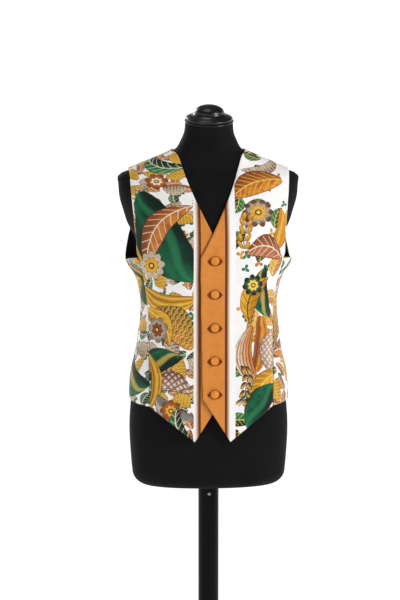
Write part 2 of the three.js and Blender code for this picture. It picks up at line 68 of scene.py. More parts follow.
# The form's and stand's driving dimensions
FORM_FOOT = 793
FORM_ROUND = 26
NECK_Y, NECK_Z, NECK_TILT = -14, 1554, math.radians(13)
PAD_OUT, PAD_MIDDLE, PAD_HALF = 8, 8, 46
PAD_RISE, PAD_FALL = (1308, 1352), (1384, 1430)
POLE_RADIUS = 21.5
BASE_RADIUS, BASE_HEIGHT = 200, 12
COLLAR_RADIUS, COLLAR_HEIGHT = 42, 20
RING_HEIGHT = 3
SCREW_Z = 771
STAND_GAP = 0.3

# Level sections: height, half width, front and back depth, middle's y, power, lean
FORM_SECTIONS = [
    (793, 158, 100, 112, 0, 2.3, 0),
    (840, 163, 104, 119, 0, 2.3, 0),
    (915, 167, 108, 124, 0, 2.25, 0),
    (985, 162, 106, 120, 0, 2.2, 0),
    (1060, 142, 97, 102, 0, 2.2, 0),
    (1130, 123, 88, 85, 0, 2.2, 0),
    (1170, 119, 86, 81, 0, 2.2, 0),
    (1215, 125, 93, 84, 0, 2.2, 0),
    (1265, 140, 110, 92, 1, 2.2, 0),
    (1310, 153, 121, 98, 2, 2.3, 0),
    (1345, 163, 116, 102, 4, 2.35, 0),
    (1385, 175, 102, 103, 7, 2.35, 0),
    (1420, 187, 84, 96, 9, 2.25, 0),
    (1438, 190, 73, 89, 10, 2.15, 0),
    (1447, 182, 66, 83, 10, 2.05, 0),
    (1454, 165, 61, 78, 9, 2, 0),
    (1467, 135, 57, 72, 7, 2, 0),
    (1481, 101, 55, 66, 4, 2, 0),
    (1492, 77, 54, 61, 1, 2, 0.03),
    (1500, 67, 53, 58, -1, 2, 0.06),
    (1514, 59, 51, 54, -5, 2, 0.12),
    (1536, 51, 49, 50, -11, 2, 0.2),
    (1554, 49.5, 49, 49, -14, 2, math.tan(NECK_TILT)),
]
HANGING_SECTIONS = [
    (890, 160, 118, 128, 0, 2.3, 0),
    (940, 164, 118, 130, 0, 2.3, 0),
    (985, 166, 118, 130, 0, 2.3, 0),
    (1030, 163, 118, 125, 0, 2.3, 0),
    (1080, 151.5, 117.5, 114, 0, 2.3, 0),
    (1110, 147.5, 117, 108, 0, 2.3, 0),
    (1145, 143, 116.5, 103, 0, 2.3, 0),
    (1175, 141.5, 117, 101, 0, 2.3, 0),
    (1200, 144, 118, 101, 0, 2.3, 0),
    (1222, 149, 120, 103, 0.5, 2.35, 0),
    (1240, 157, 122, 106, 1, 2.4, 0),
    (1260, 170, 124, 110, 1.5, 2.45, 0),
    (1277, 175, 125.5, 113, 2, 2.45, 0),
    (1310, 173, 126, 114, 3, 2.4, 0),
    (1345, 172, 120, 113, 4, 2.4, 0),
]
LYING_FROM, LYING_TO = 1380, 1504
EASE_LIFT, EASE_HALF, EASE_FRONT, EASE_BACK = 1.9, 1.6, 2.8, 3.9

# Outlines of the pieces as seen from the front: x and height
SEAM_LINE = [(127.5, SEAM_FOOT), (128, 1045), (127.5, 1110), (128.5, 1165), (137, 1222), (149, SEAM_HEAD)]
ARMHOLE_FRONT = [
    (149, SEAM_HEAD), (152, 1284), (153.5, 1312), (157, 1347), (160, 1380), (163.5, 1420), (165.5, 1446),
]
NECK_FRONT = [
    LAP_HEAD, (0, 1327), (18, 1363.5), (35, 1399), (49, 1434), (59, 1464), (66, 1485),
]
ARMHOLE_BACK = [(169.5, 1292), (161.5, 1330), (154.5, 1370), (153.5, 1408), (158.5, 1436)]
NECK_BACK = [(0, BACK_NECK), (24, 1477.5), (46, 1482.5), (61, 1489.5)]
TONGUE_TOP = [(math.radians(75), 1272), (math.radians(90), 1267)]

# Folds of each face: side, or 0 for both, then from x and z, to x and z, height and width
FOLDS = {
    "front": [
        (-1, 140, 1160, 60, 1215, 2.6, 15),
        (-1, 138, 1120, 70, 1135, 2.2, 13),
        (-1, 130, 1082, 78, 1050, 2, 16),
        (1, 140, 1172, 66, 1240, 2.4, 16),
        (1, 138, 1130, 84, 1122, 2.4, 13),
        (1, 132, 1092, 72, 1040, 2.2, 17),
        (0, 96, 1250, 104, 1150, 2, 20),
        (0, 74, 1060, 62, 945, 2.4, 22),
    ],
    "back": [
        (0, 130, 1185, 40, 1150, 3, 15),
        (0, 120, 1130, 30, 1115, 2.6, 14),
        (0, 60, 1100, 76, 1000, 3, 22),
    ],
}
# Smaller creases that only the dressed part has, in the same columns
CREASES = {
    "front": [
        (-1, 146, 1262, 92, 1288, 1.7, 7),
        (1, 146, 1262, 88, 1292, 1.8, 7),
        (-1, 138, 1150, 72, 1178, 2.0, 7),
        (-1, 136, 1104, 76, 1088, 1.9, 7),
        (-1, 132, 1078, 92, 1052, 1.4, 5),
        (-1, 134, 1128, 104, 1118, -1.3, 6),
        (1, 138, 1156, 74, 1188, 2.0, 8),
        (1, 135, 1112, 84, 1078, 1.9, 7),
        (1, 132, 1136, 100, 1140, -1.3, 6),
        (0, 52, 1236, 46, 1150, 1.1, 12),
        (0, 112, 1046, 100, 975, 1.7, 11),
        (0, 50, 1110, 44, 1010, 1.2, 10),
        (0, 86, 1010, 80, 925, -1.4, 10),
        (-1, 70, 1330, 120, 1300, 0.9, 14),
        (1, 64, 1340, 118, 1310, 0.9, 14),
    ],
    "back": [
        (0, 140, 1240, 90, 1215, 1.6, 9),
        (0, 110, 1160, 52, 1172, 1.5, 8),
        (0, 96, 1400, 60, 1330, 1.2, 14),
    ],
}

# Half a seam's gap turns a place by an angle, at these distances from the form's axis.
SIDE_REACH = 140
FRONT_ARM_REACH, FRONT_NECK_REACH = 60, 55
BACK_ARM_REACH, BACK_NECK_REACH = 75, 65

# The unevenness of pressed silk: lengths of its waves, waves of each, and height
RIPPLE_WAVES, RIPPLE_COUNT, RIPPLE_HEIGHT = (95, 62, 41, 27, 19), 3, 0.14

# How the buttons pull the lap: height, and reach across and up, of the dent, the lips round it and the drag
DENT, LIPS, DRAG = (-0.8, 16, 8), (0.35, 15, 4), (0.28, 24, 17)
LIPS_AT = 12

# Puckers round a button: directions, where they start, and least and most reach, height and width
PUCKER_TURNS = [28, 68, 104, 150, 205, 248, 286, 332]
PUCKER_START = (19, 14)
PUCKER_RANGE = ((13, 0.3, 2.6), (24, 0.7, 3.8))

# The lap's free edge: least lift, wave above it, reach of both, and share of it sideways
LAP_LEAST, LAP_SWING, LAP_REACH, LAP_SIDEWAYS = 1.3, 1.7, 12, 0.45
LAP_FADE = (1270, 1300)
# How its corners stand off beside the neck and the foot: height, reach from the edge, middle and reach in x,
# then the heights between which the neck's corner comes in, and both go out
NECK_LIFT, NECK_LIFT_IN, NECK_LIFT_OUT = (2.4, 9, -10, 22), (1262, 1282), (1325, 1370)
FOOT_LIFT, FOOT_LIFT_OUT = (3.2, 13, -4, 26), (968, 1004)

# A turned edge: how far it falls off and over what width, then the low roll beside it and its place
EDGE_FALL, EDGE_FALL_WIDTH = 0.55, 1.6
EDGE_ROLL, EDGE_ROLL_AT, EDGE_ROLL_WIDTH = 0.25, 5, 2.4

# Buttonholes: half width, half opening, roundness, drop below the button, lift of the slit's sheet of
# painted shade and of the rim, rim's radius
HOLE_HALF, HOLE_OPENING, HOLE_POWER, HOLE_DROP = 15.4, 8.8, 0.75, 1.6
SLIT_LIFT, RIM_LIFT, RIM_RADIUS = 0.2, 0.25, 0.42

# Outlines of turned pieces are (radius, height), and this is their radius on the axis.
AXIS = 0.001
BUTTON_OUTLINE = [
    (AXIS, 0), (5.6, 0), (7.3, 0.15), (8.3, 0.8), (8.7, 1.9), (8.5, 3.0), (7.9, 3.9), (6.9, 4.6),
    (5.6, 5.1), (3.8, 5.5), (1.8, 5.72), (AXIS, 5.8),
]

# The back's print repeats round the body, and is made of four zones: left and right, low and high.
PRINT_WIDTH = 340
ZONE_HEIGHT = 1262
ZONE_MARGIN = 8

# Fineness of the dressed panels
FRONT_COLUMNS = 72
FRONT_ROWS = (18, 66, 78)
BACK_COLUMNS = (24, 54)
BACK_ROWS = (48, 54)
TURN_SCALE = 100
CURVE_SAMPLES, ARC_SAMPLES = 60, 33
TORSO_SIDES, TORSO_CORNER, TORSO_RINGS = 144, 10, 190
HOLE_SIDES, HOLE_RINGS = 72, 5

# Where the cloth begins to lean back, and how fast its length then outruns its height
CHEST, CHEST_LEAN = 1330, 0.003


# Places on the body are an angle from the front, in radians, and a height.
class Sections:
    """Columns that change smoothly with height: a monotone cubic through a table's rows."""

    def __init__(self, rows):
        table = np.array(rows, float)
        self.z, self.values = table[:, 0], table[:, 1:]
        steps = np.diff(self.z)[:, None]
        rises = np.diff(self.values, axis=0) / steps
        before, after = rises[:-1], rises[1:]
        near, far = 2 * steps[1:] + steps[:-1], steps[1:] + 2 * steps[:-1]
        rising = before * after > 0
        safe_before, safe_after = np.where(rising, before, 1), np.where(rising, after, 1)
        inside = np.where(rising, (near + far) / (near / safe_before + far / safe_after), 0)
        self.slopes = np.vstack([rises[:1], inside, rises[-1:]])

    def __call__(self, z):
        z = np.clip(np.asarray(z, float), self.z[0], self.z[-1])
        i = np.clip(np.searchsorted(self.z, z, side="right") - 1, 0, len(self.z) - 2)
        step = (self.z[i + 1] - self.z[i])[..., None]
        t = (z - self.z[i])[..., None] / step
        row = (1 + 2 * t) * (1 - t) ** 2 * self.values[i] + t * (1 - t) ** 2 * step * self.slopes[i]
        row += t * t * (3 - 2 * t) * self.values[i + 1] + t * t * (t - 1) * step * self.slopes[i + 1]
        return np.moveaxis(row, -1, 0)


form_sections = Sections(FORM_SECTIONS)
vest_sections = Sections(
    HANGING_SECTIONS
    + [
        (z + EASE_LIFT, half + EASE_HALF, front + EASE_FRONT, back + EASE_BACK, mid, power, lean)
        for z, half, front, back, mid, power, lean in FORM_SECTIONS
        if LYING_FROM < z < LYING_TO
    ]
)


def point_at(sections, angle, z, inset=0.0):
    half, front, back, mid, power, lean = sections(z)
    sin, cos = np.sin(angle), np.cos(angle)
    across = np.sign(sin) * (half - inset) * np.abs(sin) ** (2 / power)
    depth = np.where(cos > 0, inset - front, back - inset) * np.abs(cos) ** (2 / power)
    return np.stack([across, mid + depth, z + depth * lean], axis=-1)


def normal_at(angle, z):
    along = point_at(vest_sections, angle + 0.01, z) - point_at(vest_sections, angle - 0.01, z)
    up = point_at(vest_sections, angle, z + 1) - point_at(vest_sections, angle, z - 1)
    normal = np.cross(along, up)
    return normal / np.linalg.norm(normal, axis=-1, keepdims=True)


def seen_at(places):
    """Angles and heights of places that are seen at x from the front."""
    x, z = np.array(places, float).T
    half, _, _, _, power, _ = vest_sections(z)
    share = np.minimum(np.abs(x) / half, 1)
    return np.stack([np.sign(x) * np.arcsin(share ** (power / 2)), z], axis=-1)


def seen_behind(places):
    return seen_at(places) * (-1, 1) + (math.pi, 0)


def turned_to(places):
    """Places from pairs of a turn, at so many millimetres to the radian, and a height."""
    return np.array(places, float) / (TURN_SCALE, 1)


def seen_x(place):
    """The same place as seen from the front or from behind."""
    return float(point_at(vest_sections, np.array(place[0]), np.array(place[1]))[0]), float(place[1])


def line_of(points, count, place_of=seen_at):
    """count + 1 places at even steps along a centripetal curve through points."""
    knots = np.array(points, float)
    knots = np.vstack([2 * knots[0] - knots[1], knots, 2 * knots[-1] - knots[-2]])
    t = np.linspace(0, 1, CURVE_SAMPLES)[:, None]
    curve = []
    for p0, p1, p2, p3 in zip(knots, knots[1:], knots[2:], knots[3:]):
        d0, d1, d2 = (np.linalg.norm(b - a) ** 0.5 for a, b in ((p0, p1), (p1, p2), (p2, p3)))
        start = ((p1 - p0) / d0 - (p2 - p0) / (d0 + d1) + (p2 - p1) / d1) * d1
        end = ((p2 - p1) / d1 - (p3 - p1) / (d1 + d2) + (p3 - p2) / d2) * d1
        cubic = (1 + 2 * t) * (1 - t) ** 2 * p1 + t * (1 - t) ** 2 * start
        curve.append(cubic + t * t * (3 - 2 * t) * p2 + t * t * (t - 1) * end)
    path = place_of(np.vstack(curve))
    spots = point_at(vest_sections, path[:, 0], path[:, 1])
    lengths = np.concatenate([[0], np.cumsum(np.linalg.norm(np.diff(spots, axis=0), axis=1))])
    wanted = np.linspace(0, lengths[-1], count + 1)
    return np.stack([np.interp(wanted, lengths, path[:, k]) for k in (0, 1)], axis=-1)


def mix(a, b, t):
    return a + (b - a) * t


def ramp(value, low, high):
    t = np.clip((value - low) / (high - low), 0, 1)
    return t * t * (3 - 2 * t)


def gap_turn(reach):
    return SEAM_GAP / 2 / reach


SEAM_ROWS = FRONT_ROWS[0] + FRONT_ROWS[1]


def seam_places(side):
    """The side seam's places, moved by half its gap to one side."""
    return line_of(SEAM_LINE, SEAM_ROWS) + (side * gap_turn(SIDE_REACH), 0)


def front_places():
    """Rows of places of the front that lies on the +X half, from the hem up."""
    foot = line_of([HEM_POINT, LAP_FOOT], FRONT_ROWS[0])
    edge = line_of([LAP_FOOT, LAP_HEAD], FRONT_ROWS[1])
    neck_end = (math.pi / 2 - gap_turn(FRONT_NECK_REACH), SHOULDER_NECK)
    arm_end = (math.pi / 2 - gap_turn(FRONT_ARM_REACH), SHOULDER_END)
    neck = line_of([*NECK_FRONT, seen_x(neck_end)], FRONT_ROWS[2])
    armhole = line_of([*ARMHOLE_FRONT, seen_x(arm_end)], FRONT_ROWS[2])
    inner = np.vstack([foot, edge[1:], neck[1:]])
    outer = np.vstack([seam_places(-1), armhole[1:]])
    inner_x, outer_x = (point_at(vest_sections, *line.T)[:, 0] for line in (inner, outer))
    t = np.linspace(0, 1, FRONT_COLUMNS + 1)
    rows = []
    for j in range(SEAM_ROWS + 1):
        x, z = mix(inner_x[j], outer_x[j], t), mix(inner[j, 1], outer[j, 1], t)
        rows.append(seen_at(np.stack([x, z], axis=-1)))
        rows[-1][-1] = outer[j]
    level = rows[-1][:, 0]
    shares = (level - level[0]) / (level[-1] - level[0])
    for from_place, to_place in zip(inner[SEAM_ROWS + 1:], outer[SEAM_ROWS + 1:]):
        rows.append(mix(from_place, to_place, shares[:, None]))
    return np.array(rows)


def back_places():
    """Two blocks of rows of the back's +X half: below the armhole, and up to the shoulder."""
    seam = seam_places(1)
    corner = np.array(UNDERARM)
    on_tongue = np.vstack([seam[-1], *TONGUE_TOP, corner]) * (TURN_SCALE, 1)
    tongue = line_of(on_tongue, BACK_COLUMNS[0], turned_to)
    hem_share = (corner[0] - seam[0, 0]) / (math.pi - seam[0, 0])
    hem_turn = mix(seam[0, 1], BACK_HEM, hem_share)
    left_shares = np.linspace(0, 1, BACK_COLUMNS[0] + 1)[:-1, None]
    right_shares = np.linspace(0, 1, BACK_COLUMNS[1] + 1)[:, None]
    bow = tongue[:-1] - mix(seam[-1], corner, left_shares)
    lower = []
    for j, side in enumerate(seam):
        t = j / SEAM_ROWS
        middle = np.array([math.pi, mix(BACK_HEM, BACK_RISE, t)])
        turn = np.array([corner[0], mix(hem_turn, corner[1], t)])
        left = mix(side, turn, left_shares) + bow * t**4
        lower.append(np.vstack([left, mix(turn, middle, right_shares)]))
    arm_end = (math.pi / 2 + gap_turn(BACK_ARM_REACH), SHOULDER_END)
    neck_end = (math.pi / 2 + gap_turn(BACK_NECK_REACH), SHOULDER_NECK)
    side = line_of([seen_x(corner), *ARMHOLE_BACK, seen_x(arm_end)], sum(BACK_ROWS), seen_behind)
    up = line_of([(0, BACK_RISE), (0, BACK_NECK)], BACK_ROWS[0], seen_behind)
    neck = line_of([*NECK_BACK, seen_x(neck_end)], BACK_ROWS[1], seen_behind)
    inner = np.vstack([up, neck[1:]])
    upper = [mix(a, b, right_shares) for a, b in zip(side, inner)]
    return np.array(lower), np.array(upper)


# From places to cloth
def fold_at(points, side, table):
    """How far the folds of a table move points out, on one half of the vest."""
    out = np.zeros(points.shape[:-1])
    for fold_side, x0, z0, x1, z1, height, width in table:
        if fold_side not in (0, side):
            continue
        dx, dz = x1 - x0, z1 - z0
        px, pz = np.abs(points[..., 0]) - x0, points[..., 2] - z0
        along = np.clip((px * dx + pz * dz) / (dx * dx + dz * dz), 0, 1)
        away = np.hypot(px - along * dx, pz - along * dz) / width
        out += height * np.sin(math.pi * (0.2 + 0.8 * (1 - along))) * np.exp(-away * away)
    return out


def ripple(points, seed):
    """Faint unevenness of hand-pressed silk, of a few tenths of a millimetre."""
    random = np.random.default_rng(seed)
    out = np.zeros(points.shape[:-1])
    for wave in RIPPLE_WAVES:
        for _ in range(RIPPLE_COUNT):
            heading = random.normal(size=3)
            heading /= np.linalg.norm(heading)
            phase = random.uniform(0, 2 * math.pi)
            out += wave / RIPPLE_WAVES[0] * np.sin(points @ heading * 2 * math.pi / wave + phase)
    return out * RIPPLE_HEIGHT


def lap_lift(x):
    return (CLOTH + LAYER_GAP) * (1 - ramp(x, LAP + 2, LAP + 2 + LAP_RAMP))


def button_pull(points):
    """Soft dents and drag lines where the buttons hold the lap."""
    out = np.zeros(points.shape[:-1])
    for z in BUTTON_HEIGHTS:
        dx, dz = points[..., 0] - BUTTON_X, points[..., 2] - z
        lines = np.sin(dx * 0.16 + dz * 0.5 + z)
        parts = ((DENT, dz, 1), (LIPS, np.abs(dz + 1) - LIPS_AT, 1), (DRAG, dz, lines))
        for (height, across, up), away, share in parts:
            out += height * share * np.exp(-((dx / across) ** 2) - (away / up) ** 2)
    return out


def puckers(points):
    """Short creases that fan out from the buttons over the lap."""
    random = np.random.default_rng(5)
    out = np.zeros(points.shape[:-1])
    for z in BUTTON_HEIGHTS:
        for turn in np.radians(PUCKER_TURNS):
            turn += random.normal(0, 0.14)
            reach, height, width = random.uniform(*PUCKER_RANGE)
            cos, sin = math.cos(turn), math.sin(turn)
            px = points[..., 0] - BUTTON_X - PUCKER_START[0] * cos
            pz = points[..., 2] - z - PUCKER_START[1] * sin
            along = np.clip((px * cos + pz * sin) / reach, 0, 1)
            away = np.hypot(px - along * reach * cos, pz - along * reach * sin) / width
            out += height * np.sin(math.pi * (0.25 + 0.75 * along)) * np.exp(-away * away)
    return out


def lap_wave(points):
    """The gentle wave of the lap's free edge between the buttons."""
    x, z = points[..., 0], points[..., 2]
    near_edge = np.exp(-(((x + LAP) / LAP_REACH) ** 2))
    below_head = ramp(z, LAP_FOOT[1] - 60, LAP_FOOT[1]) * (1 - ramp(z, *LAP_FADE))
    swing = (1 - np.cos((z - BUTTON_HEIGHTS[-1]) * 2 * math.pi / BUTTON_STEP)) / 2
    return near_edge * below_head * (LAP_LEAST + LAP_SWING * swing)


def corner_lift(points, z, distance):
    """How the lap's free edge stands off beside the neck's point and towards the foot."""
    beside_neck = ramp(z, *NECK_LIFT_IN) * (1 - ramp(z, *NECK_LIFT_OUT))
    beside_foot = 1 - ramp(z, *FOOT_LIFT_OUT)
    out = np.zeros(z.shape)
    for (height, reach, middle, half), share in ((NECK_LIFT, beside_neck), (FOOT_LIFT, beside_foot)):
        away = ((points[..., 0] - middle) / half) ** 2 + (distance / reach) ** 2
        out += height * share * np.exp(-away)
    return out


def edge_distance(points, closed=()):
    """Distance to the nearest side of a grid of points; closed names sides that aren't cloth edges."""
    along = np.linalg.norm(np.diff(points, axis=1), axis=-1)
    up = np.linalg.norm(np.diff(points, axis=0), axis=-1)
    across = np.pad(np.cumsum(along, axis=1), ((0, 0), (1, 0)))
    height = np.pad(np.cumsum(up, axis=0), ((1, 0), (0, 0)))
    sides = {"left": across, "right": across[:, -1:] - across, "bottom": height, "top": height[-1:] - height}
    return np.minimum.reduce([d for name, d in sides.items() if name not in closed])


def turned_edge(distance):
    """A cloth edge that is turned under falls off softly over its last millimetres."""
    roll = np.exp(-(((distance - EDGE_ROLL_AT) / EDGE_ROLL_WIDTH) ** 2))
    return EDGE_ROLL * roll - EDGE_FALL * np.exp(-((distance / EDGE_FALL_WIDTH) ** 2))


def arc_from(angle, z, start):
    """Length along the level section from the start angle, which prints and stripes follow."""
    steps = np.linspace(0, 1, ARC_SAMPLES)
    angles = start + (angle - start)[..., None] * steps
    path = point_at(vest_sections, angles, np.broadcast_to(z[..., None], angles.shape))
    length = np.linalg.norm(np.diff(path[..., :2], axis=-2), axis=-1).sum(axis=-1)
    return np.sign(angle - start) * length


def cloth_height(z):
    """Length up the cloth, which leans back above the chest."""
    return z + CHEST_LEAN * np.maximum(z - CHEST, 0) ** 2


def grid_faces(rows, columns, flip=False, first=0):
    j, i = np.meshgrid(np.arange(rows - 1), np.arange(columns - 1), indexing="ij")
    a = (first + j * columns + i).ravel()
    quads = np.stack([a, a + 1, a + 1 + columns, a + columns], axis=-1)
    return quads[:, ::-1] if flip else quads


def added(name, data):
    """A new object of the scene, for some data."""
    piece = bpy.data.objects.new(name, data)
    bpy.context.collection.objects.link(piece)
    return piece


def edited(mesh, *steps):
    """Runs steps on a mesh's editable form, and writes it back."""
    work = bmesh.new()
    work.from_mesh(mesh)
    for step in steps:
        step(work)
    work.to_mesh(mesh)
    work.free()


def welded(distance):
    return lambda work: bmesh.ops.remove_doubles(work, verts=work.verts, dist=distance)


def cloth_object(name, points, faces, places, materials):
    """A panel: its outer sheet, given the cloth's thickness inwards, with its places on the cloth as uv.

    The layer "cloth" holds the places themselves, and "print" the places within one width of the print.
    A panel with more than one pair of materials has a pair for each zone of the print.
    """
    mesh = bpy.data.meshes.new(name)
    mesh.from_pydata((points * MM).tolist(), [], faces.tolist())
    corners = places[faces]
    turns = np.round(corners[..., 0].mean(axis=1) / PRINT_WIDTH)
    printed = corners - turns[:, None, None] * (PRINT_WIDTH, 0)
    for layer, values in (("print", printed), ("cloth", corners)):
        uvs = mesh.uv_layers.new(name=layer).data
        uvs.foreach_set("uv", (values * MM).astype(np.float32).ravel())
    piece = added(name, mesh)
    for material in materials:
        mesh.materials.append(material)
    if len(materials) > 2:
        middle = printed.mean(axis=1)
        zones = (middle[:, 0] > 0) + 2 * (middle[:, 1] > ZONE_HEIGHT)
        mesh.polygons.foreach_set("material_index", (2 * zones).astype(np.int32))
        edited(mesh, welded(0.05 * MM))
    mesh.shade_smooth()
    solid = piece.modifiers.new("cloth", "SOLIDIFY")
    solid.thickness = CLOTH * MM
    solid.offset = -1
    solid.material_offset = 1
    solid.material_offset_rim = 0
    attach(piece, "root")
    return piece


def front_out(bare, side):
    """How far the outer face of a front lies out from the vest's plain surface."""
    face_share = ramp(np.abs(bare[..., 0]), LAP + 2, LAP + LAP_RAMP + 8)
    out = CLOTH + fold_at(bare, side, FOLDS["front"]) * face_share
    out += fold_at(bare, side, CREASES["front"]) * face_share
    out += ripple(bare, 7 + side) * (0.35 + 0.65 * face_share)
    if side > 0:
        out += lap_lift(bare[..., 0]) + button_pull(bare) + lap_wave(bare) + puckers(bare)
    return out


def on_upper_front(x, z, lift):
    """Points on the outer face of the upper front that are seen at x and z from the front."""
    angle, z = seen_at(np.stack([x, z], axis=-1)).T
    bare = point_at(vest_sections, angle, z)
    return bare + normal_at(angle, z) * (front_out(bare, 1) + lift)[:, None]


def front_object(name, side, materials):
    places = front_places() * (side, 1)
    angle, z = places[..., 0], places[..., 1]
    bare = point_at(vest_sections, angle, z)
    distance = edge_distance(bare)
    out = front_out(bare, side) + turned_edge(distance)
    if side > 0:
        out += corner_lift(bare, z, distance)
    points = bare + normal_at(angle, z) * out[..., None]
    if side > 0:
        points[..., 0] -= LAP_SIDEWAYS * lap_wave(bare)
    uvs = np.stack([arc_from(angle, z, 0.0), cloth_height(z)], axis=-1)
    faces = grid_faces(*z.shape, flip=side < 0)
    return cloth_object(name, points.reshape(-1, 3), faces, uvs.reshape(-1, 2), materials)


def back_object(name, materials):
    points, faces, uvs, count = [], [], [], 0
    lower, upper = back_places()
    for side in (1, -1):
        for block, inner_side in ((lower, "top"), (upper, "bottom")):
            angle = block[..., 0] if side > 0 else 2 * math.pi - block[..., 0]
            z = block[..., 1]
            bare = point_at(vest_sections, angle, z)
            behind = ramp(bare[..., 1], -5, 25)
            out = fold_at(bare, side, FOLDS["back"]) + fold_at(bare, side, CREASES["back"])
            out = CLOTH + out * behind + ripple(bare, 3)
            distance = edge_distance(bare, closed=("right", inner_side))
            if block is lower:
                under_arm = np.s_[:, : BACK_COLUMNS[0] + 1]
                tongue = edge_distance(bare[under_arm], closed=("right",))
                distance[under_arm] = np.minimum(distance[under_arm], tongue)
            out += turned_edge(distance)
            points.append((bare + normal_at(angle, z) * out[..., None]).reshape(-1, 3))
            uvs.append(np.stack([arc_from(angle, z, math.pi), cloth_height(z)], axis=-1).reshape(-1, 2))
            faces.append(grid_faces(*z.shape, flip=side < 0, first=count))
            count += z.size
    return cloth_object(name, np.vstack(points), np.vstack(faces), np.vstack(uvs), materials)


# Finishes
def feed(tree, entry, value):
    """Sets a node's entry to a plain value, or links it to the field or socket that gives it."""
    value = value.socket if isinstance(value, Field) else value
    if isinstance(value, bpy.types.NodeSocket):
        tree.links.new(value, entry)
    else:
        entry.default_value = (*value, 1) if entry.type == "RGBA" else value


class Field:
    """A number that varies over a surface, held by a node's socket, with everyday arithmetic."""

    def __init__(self, tree, socket):
        self.tree, self.socket = tree, socket

    def _math(self, operation, *others):
        node = self.tree.nodes.new("ShaderNodeMath")
        node.operation = operation
        for value, entry in zip((self, *others), node.inputs):
            feed(self.tree, entry, value)
        return Field(self.tree, node.outputs[0])

    __add__ = partialmethod(_math, "ADD")
    __sub__ = partialmethod(_math, "SUBTRACT")
    __mul__ = partialmethod(_math, "MULTIPLY")
    __truediv__ = partialmethod(_math, "DIVIDE")
    __pow__ = partialmethod(_math, "POWER")
    __abs__ = partialmethod(_math, "ABSOLUTE")
    times_add = partialmethod(_math, "MULTIPLY_ADD")
    below = partialmethod(_math, "LESS_THAN")
    above = partialmethod(_math, "GREATER_THAN")
    most = partialmethod(_math, "MAXIMUM")
    fraction = partialmethod(_math, "FRACT")
    sine = partialmethod(_math, "SINE")
    cosine = partialmethod(_math, "COSINE")
    turn_of = partialmethod(_math, "ARCTAN2")

    def ramp(self, low, high):
        """A smooth rise from 0 at low to 1 at high."""
        node = self.tree.nodes.new("ShaderNodeMapRange")
        node.interpolation_type = "SMOOTHSTEP"
        for name, value in (("Value", self), ("From Min", low), ("From Max", high)):
            feed(self.tree, node.inputs[name], value)
        return Field(self.tree, node.outputs["Result"])


class Paint:
    """Builds a colour node by node, each layer laid over the colour so far."""

    def __init__(self, tree):
        self.tree, self.colour = tree, None

    def add(self, kind, feeds=None, **settings):
        """A new node with its settings, and its entries fed by name or number."""
        node = self.tree.nodes.new(kind)
        for name, value in settings.items():
            setattr(node, name, value)
        for name, value in (feeds or {}).items():
            feed(self.tree, node.inputs[name], value)
        return node

    def over(self, under, top, share):
        return self.add("ShaderNodeMix", {6: under, 7: top, 0: share}, data_type="RGBA").outputs[2]

    def lay(self, tone, share):
        self.colour = self.over(self.colour, tone, share)

    def vector_math(self, operation, *vectors):
        return self.add("ShaderNodeVectorMath", dict(enumerate(vectors)), operation=operation).outputs[0]

    def fields(self, sockets):
        return [Field(self.tree, socket) for socket in sockets]

    def split(self, vector):
        return self.fields(self.add("ShaderNodeSeparateXYZ", {0: vector}).outputs)[:2]

    def object_place(self):
        return self.add("ShaderNodeTexCoord").outputs["Object"]

    def cloud(self, vector, scale, detail):
        return self.add("ShaderNodeTexNoise", {"Vector": vector, "Scale": scale, "Detail": detail})

    def noise(self, vector, scale, detail=3.0):
        return Field(self.tree, self.cloud(vector, scale, detail).outputs["Fac"])

    def wobble(self, vector, scale, amount):
        """A small uneven shift, so that printed lines look drawn by hand."""
        cloud = self.cloud(vector, scale, 2).outputs["Color"]
        return self.vector_math("MULTIPLY_ADD", cloud, (amount, amount, 0), (-amount / 2, -amount / 2, 0))

    def painted_shade_share(self, reach):
        """How closely other surfaces stand round a point, from 0 in the open to 1 in a narrow gap: the share
        of painted shade that darkens the colour there.
        """
        node = self.add("ShaderNodeAmbientOcclusion", {"Distance": reach * MM}, samples=8)
        return Field(self.tree, node.outputs["AO"]).ramp(0.97, 0.45)

    def ribs(self, vector, scale, direction="X", distortion=0.0):
        feeds = {"Vector": vector, "Scale": scale, "Distortion": distortion}
        node = self.add("ShaderNodeTexWave", feeds, wave_type="BANDS", bands_direction=direction)
        return Field(self.tree, node.outputs["Fac"])

    def bump(self, height, strength, distance, under=None):
        feeds = {"Strength": strength, "Distance": distance, "Height": height}
        return self.add("ShaderNodeBump", feeds | ({"Normal": under} if under else {})).outputs[0]


class Finish(Paint):
    """A material: the plain values of its shader, and what is painted over them."""

    def __init__(self, name, colour, roughness, metallic=0.0, sheen=0.0, specular=0.5):
        self.material = bpy.data.materials.new(name)
        self.material.use_nodes = True
        self.material.diffuse_color = (*colour, 1)
        super().__init__(self.material.node_tree)
        self.shade({"Base Color": colour, "Roughness": roughness, "Metallic": metallic})
        self.shade({"Sheen Weight": sheen, "Sheen Roughness": 0.5, "Specular IOR Level": specular})

    def shade(self, values):
        """Feeds entries of the shader, and gives the material back."""
        for name, value in values.items():
            feed(self.tree, self.tree.nodes["Principled BSDF"].inputs[name], value)
        return self.material


def srgb(*levels):
    """A colour in the shader's linear values, from the usual 0 to 255."""
    return tuple(c / 255 / 12.92 if c <= 10 else ((c / 255 + 0.055) / 1.055) ** 2.4 for c in levels)


INK = srgb(72, 38, 22)
WHITE = srgb(250, 248, 246)
CREAM = srgb(240, 222, 190)
LEAF = srgb(44, 134, 88)
FOREST = srgb(4, 38, 30)
GOLD = srgb(232, 172, 52)
LEMON = srgb(244, 206, 92)
OCHRE = srgb(196, 134, 30)
TAN = srgb(214, 132, 58)
RUST = srgb(150, 74, 36)
BROWN = srgb(104, 56, 34)
BEIGE = srgb(204, 184, 160)
STONE = srgb(150, 138, 126)
SMOKE = srgb(120, 124, 122)
BAND = srgb(222, 140, 62)
EMERALD = srgb(22, 104, 66)
AMBER = srgb(222, 142, 40)
ROSE = srgb(196, 122, 88)

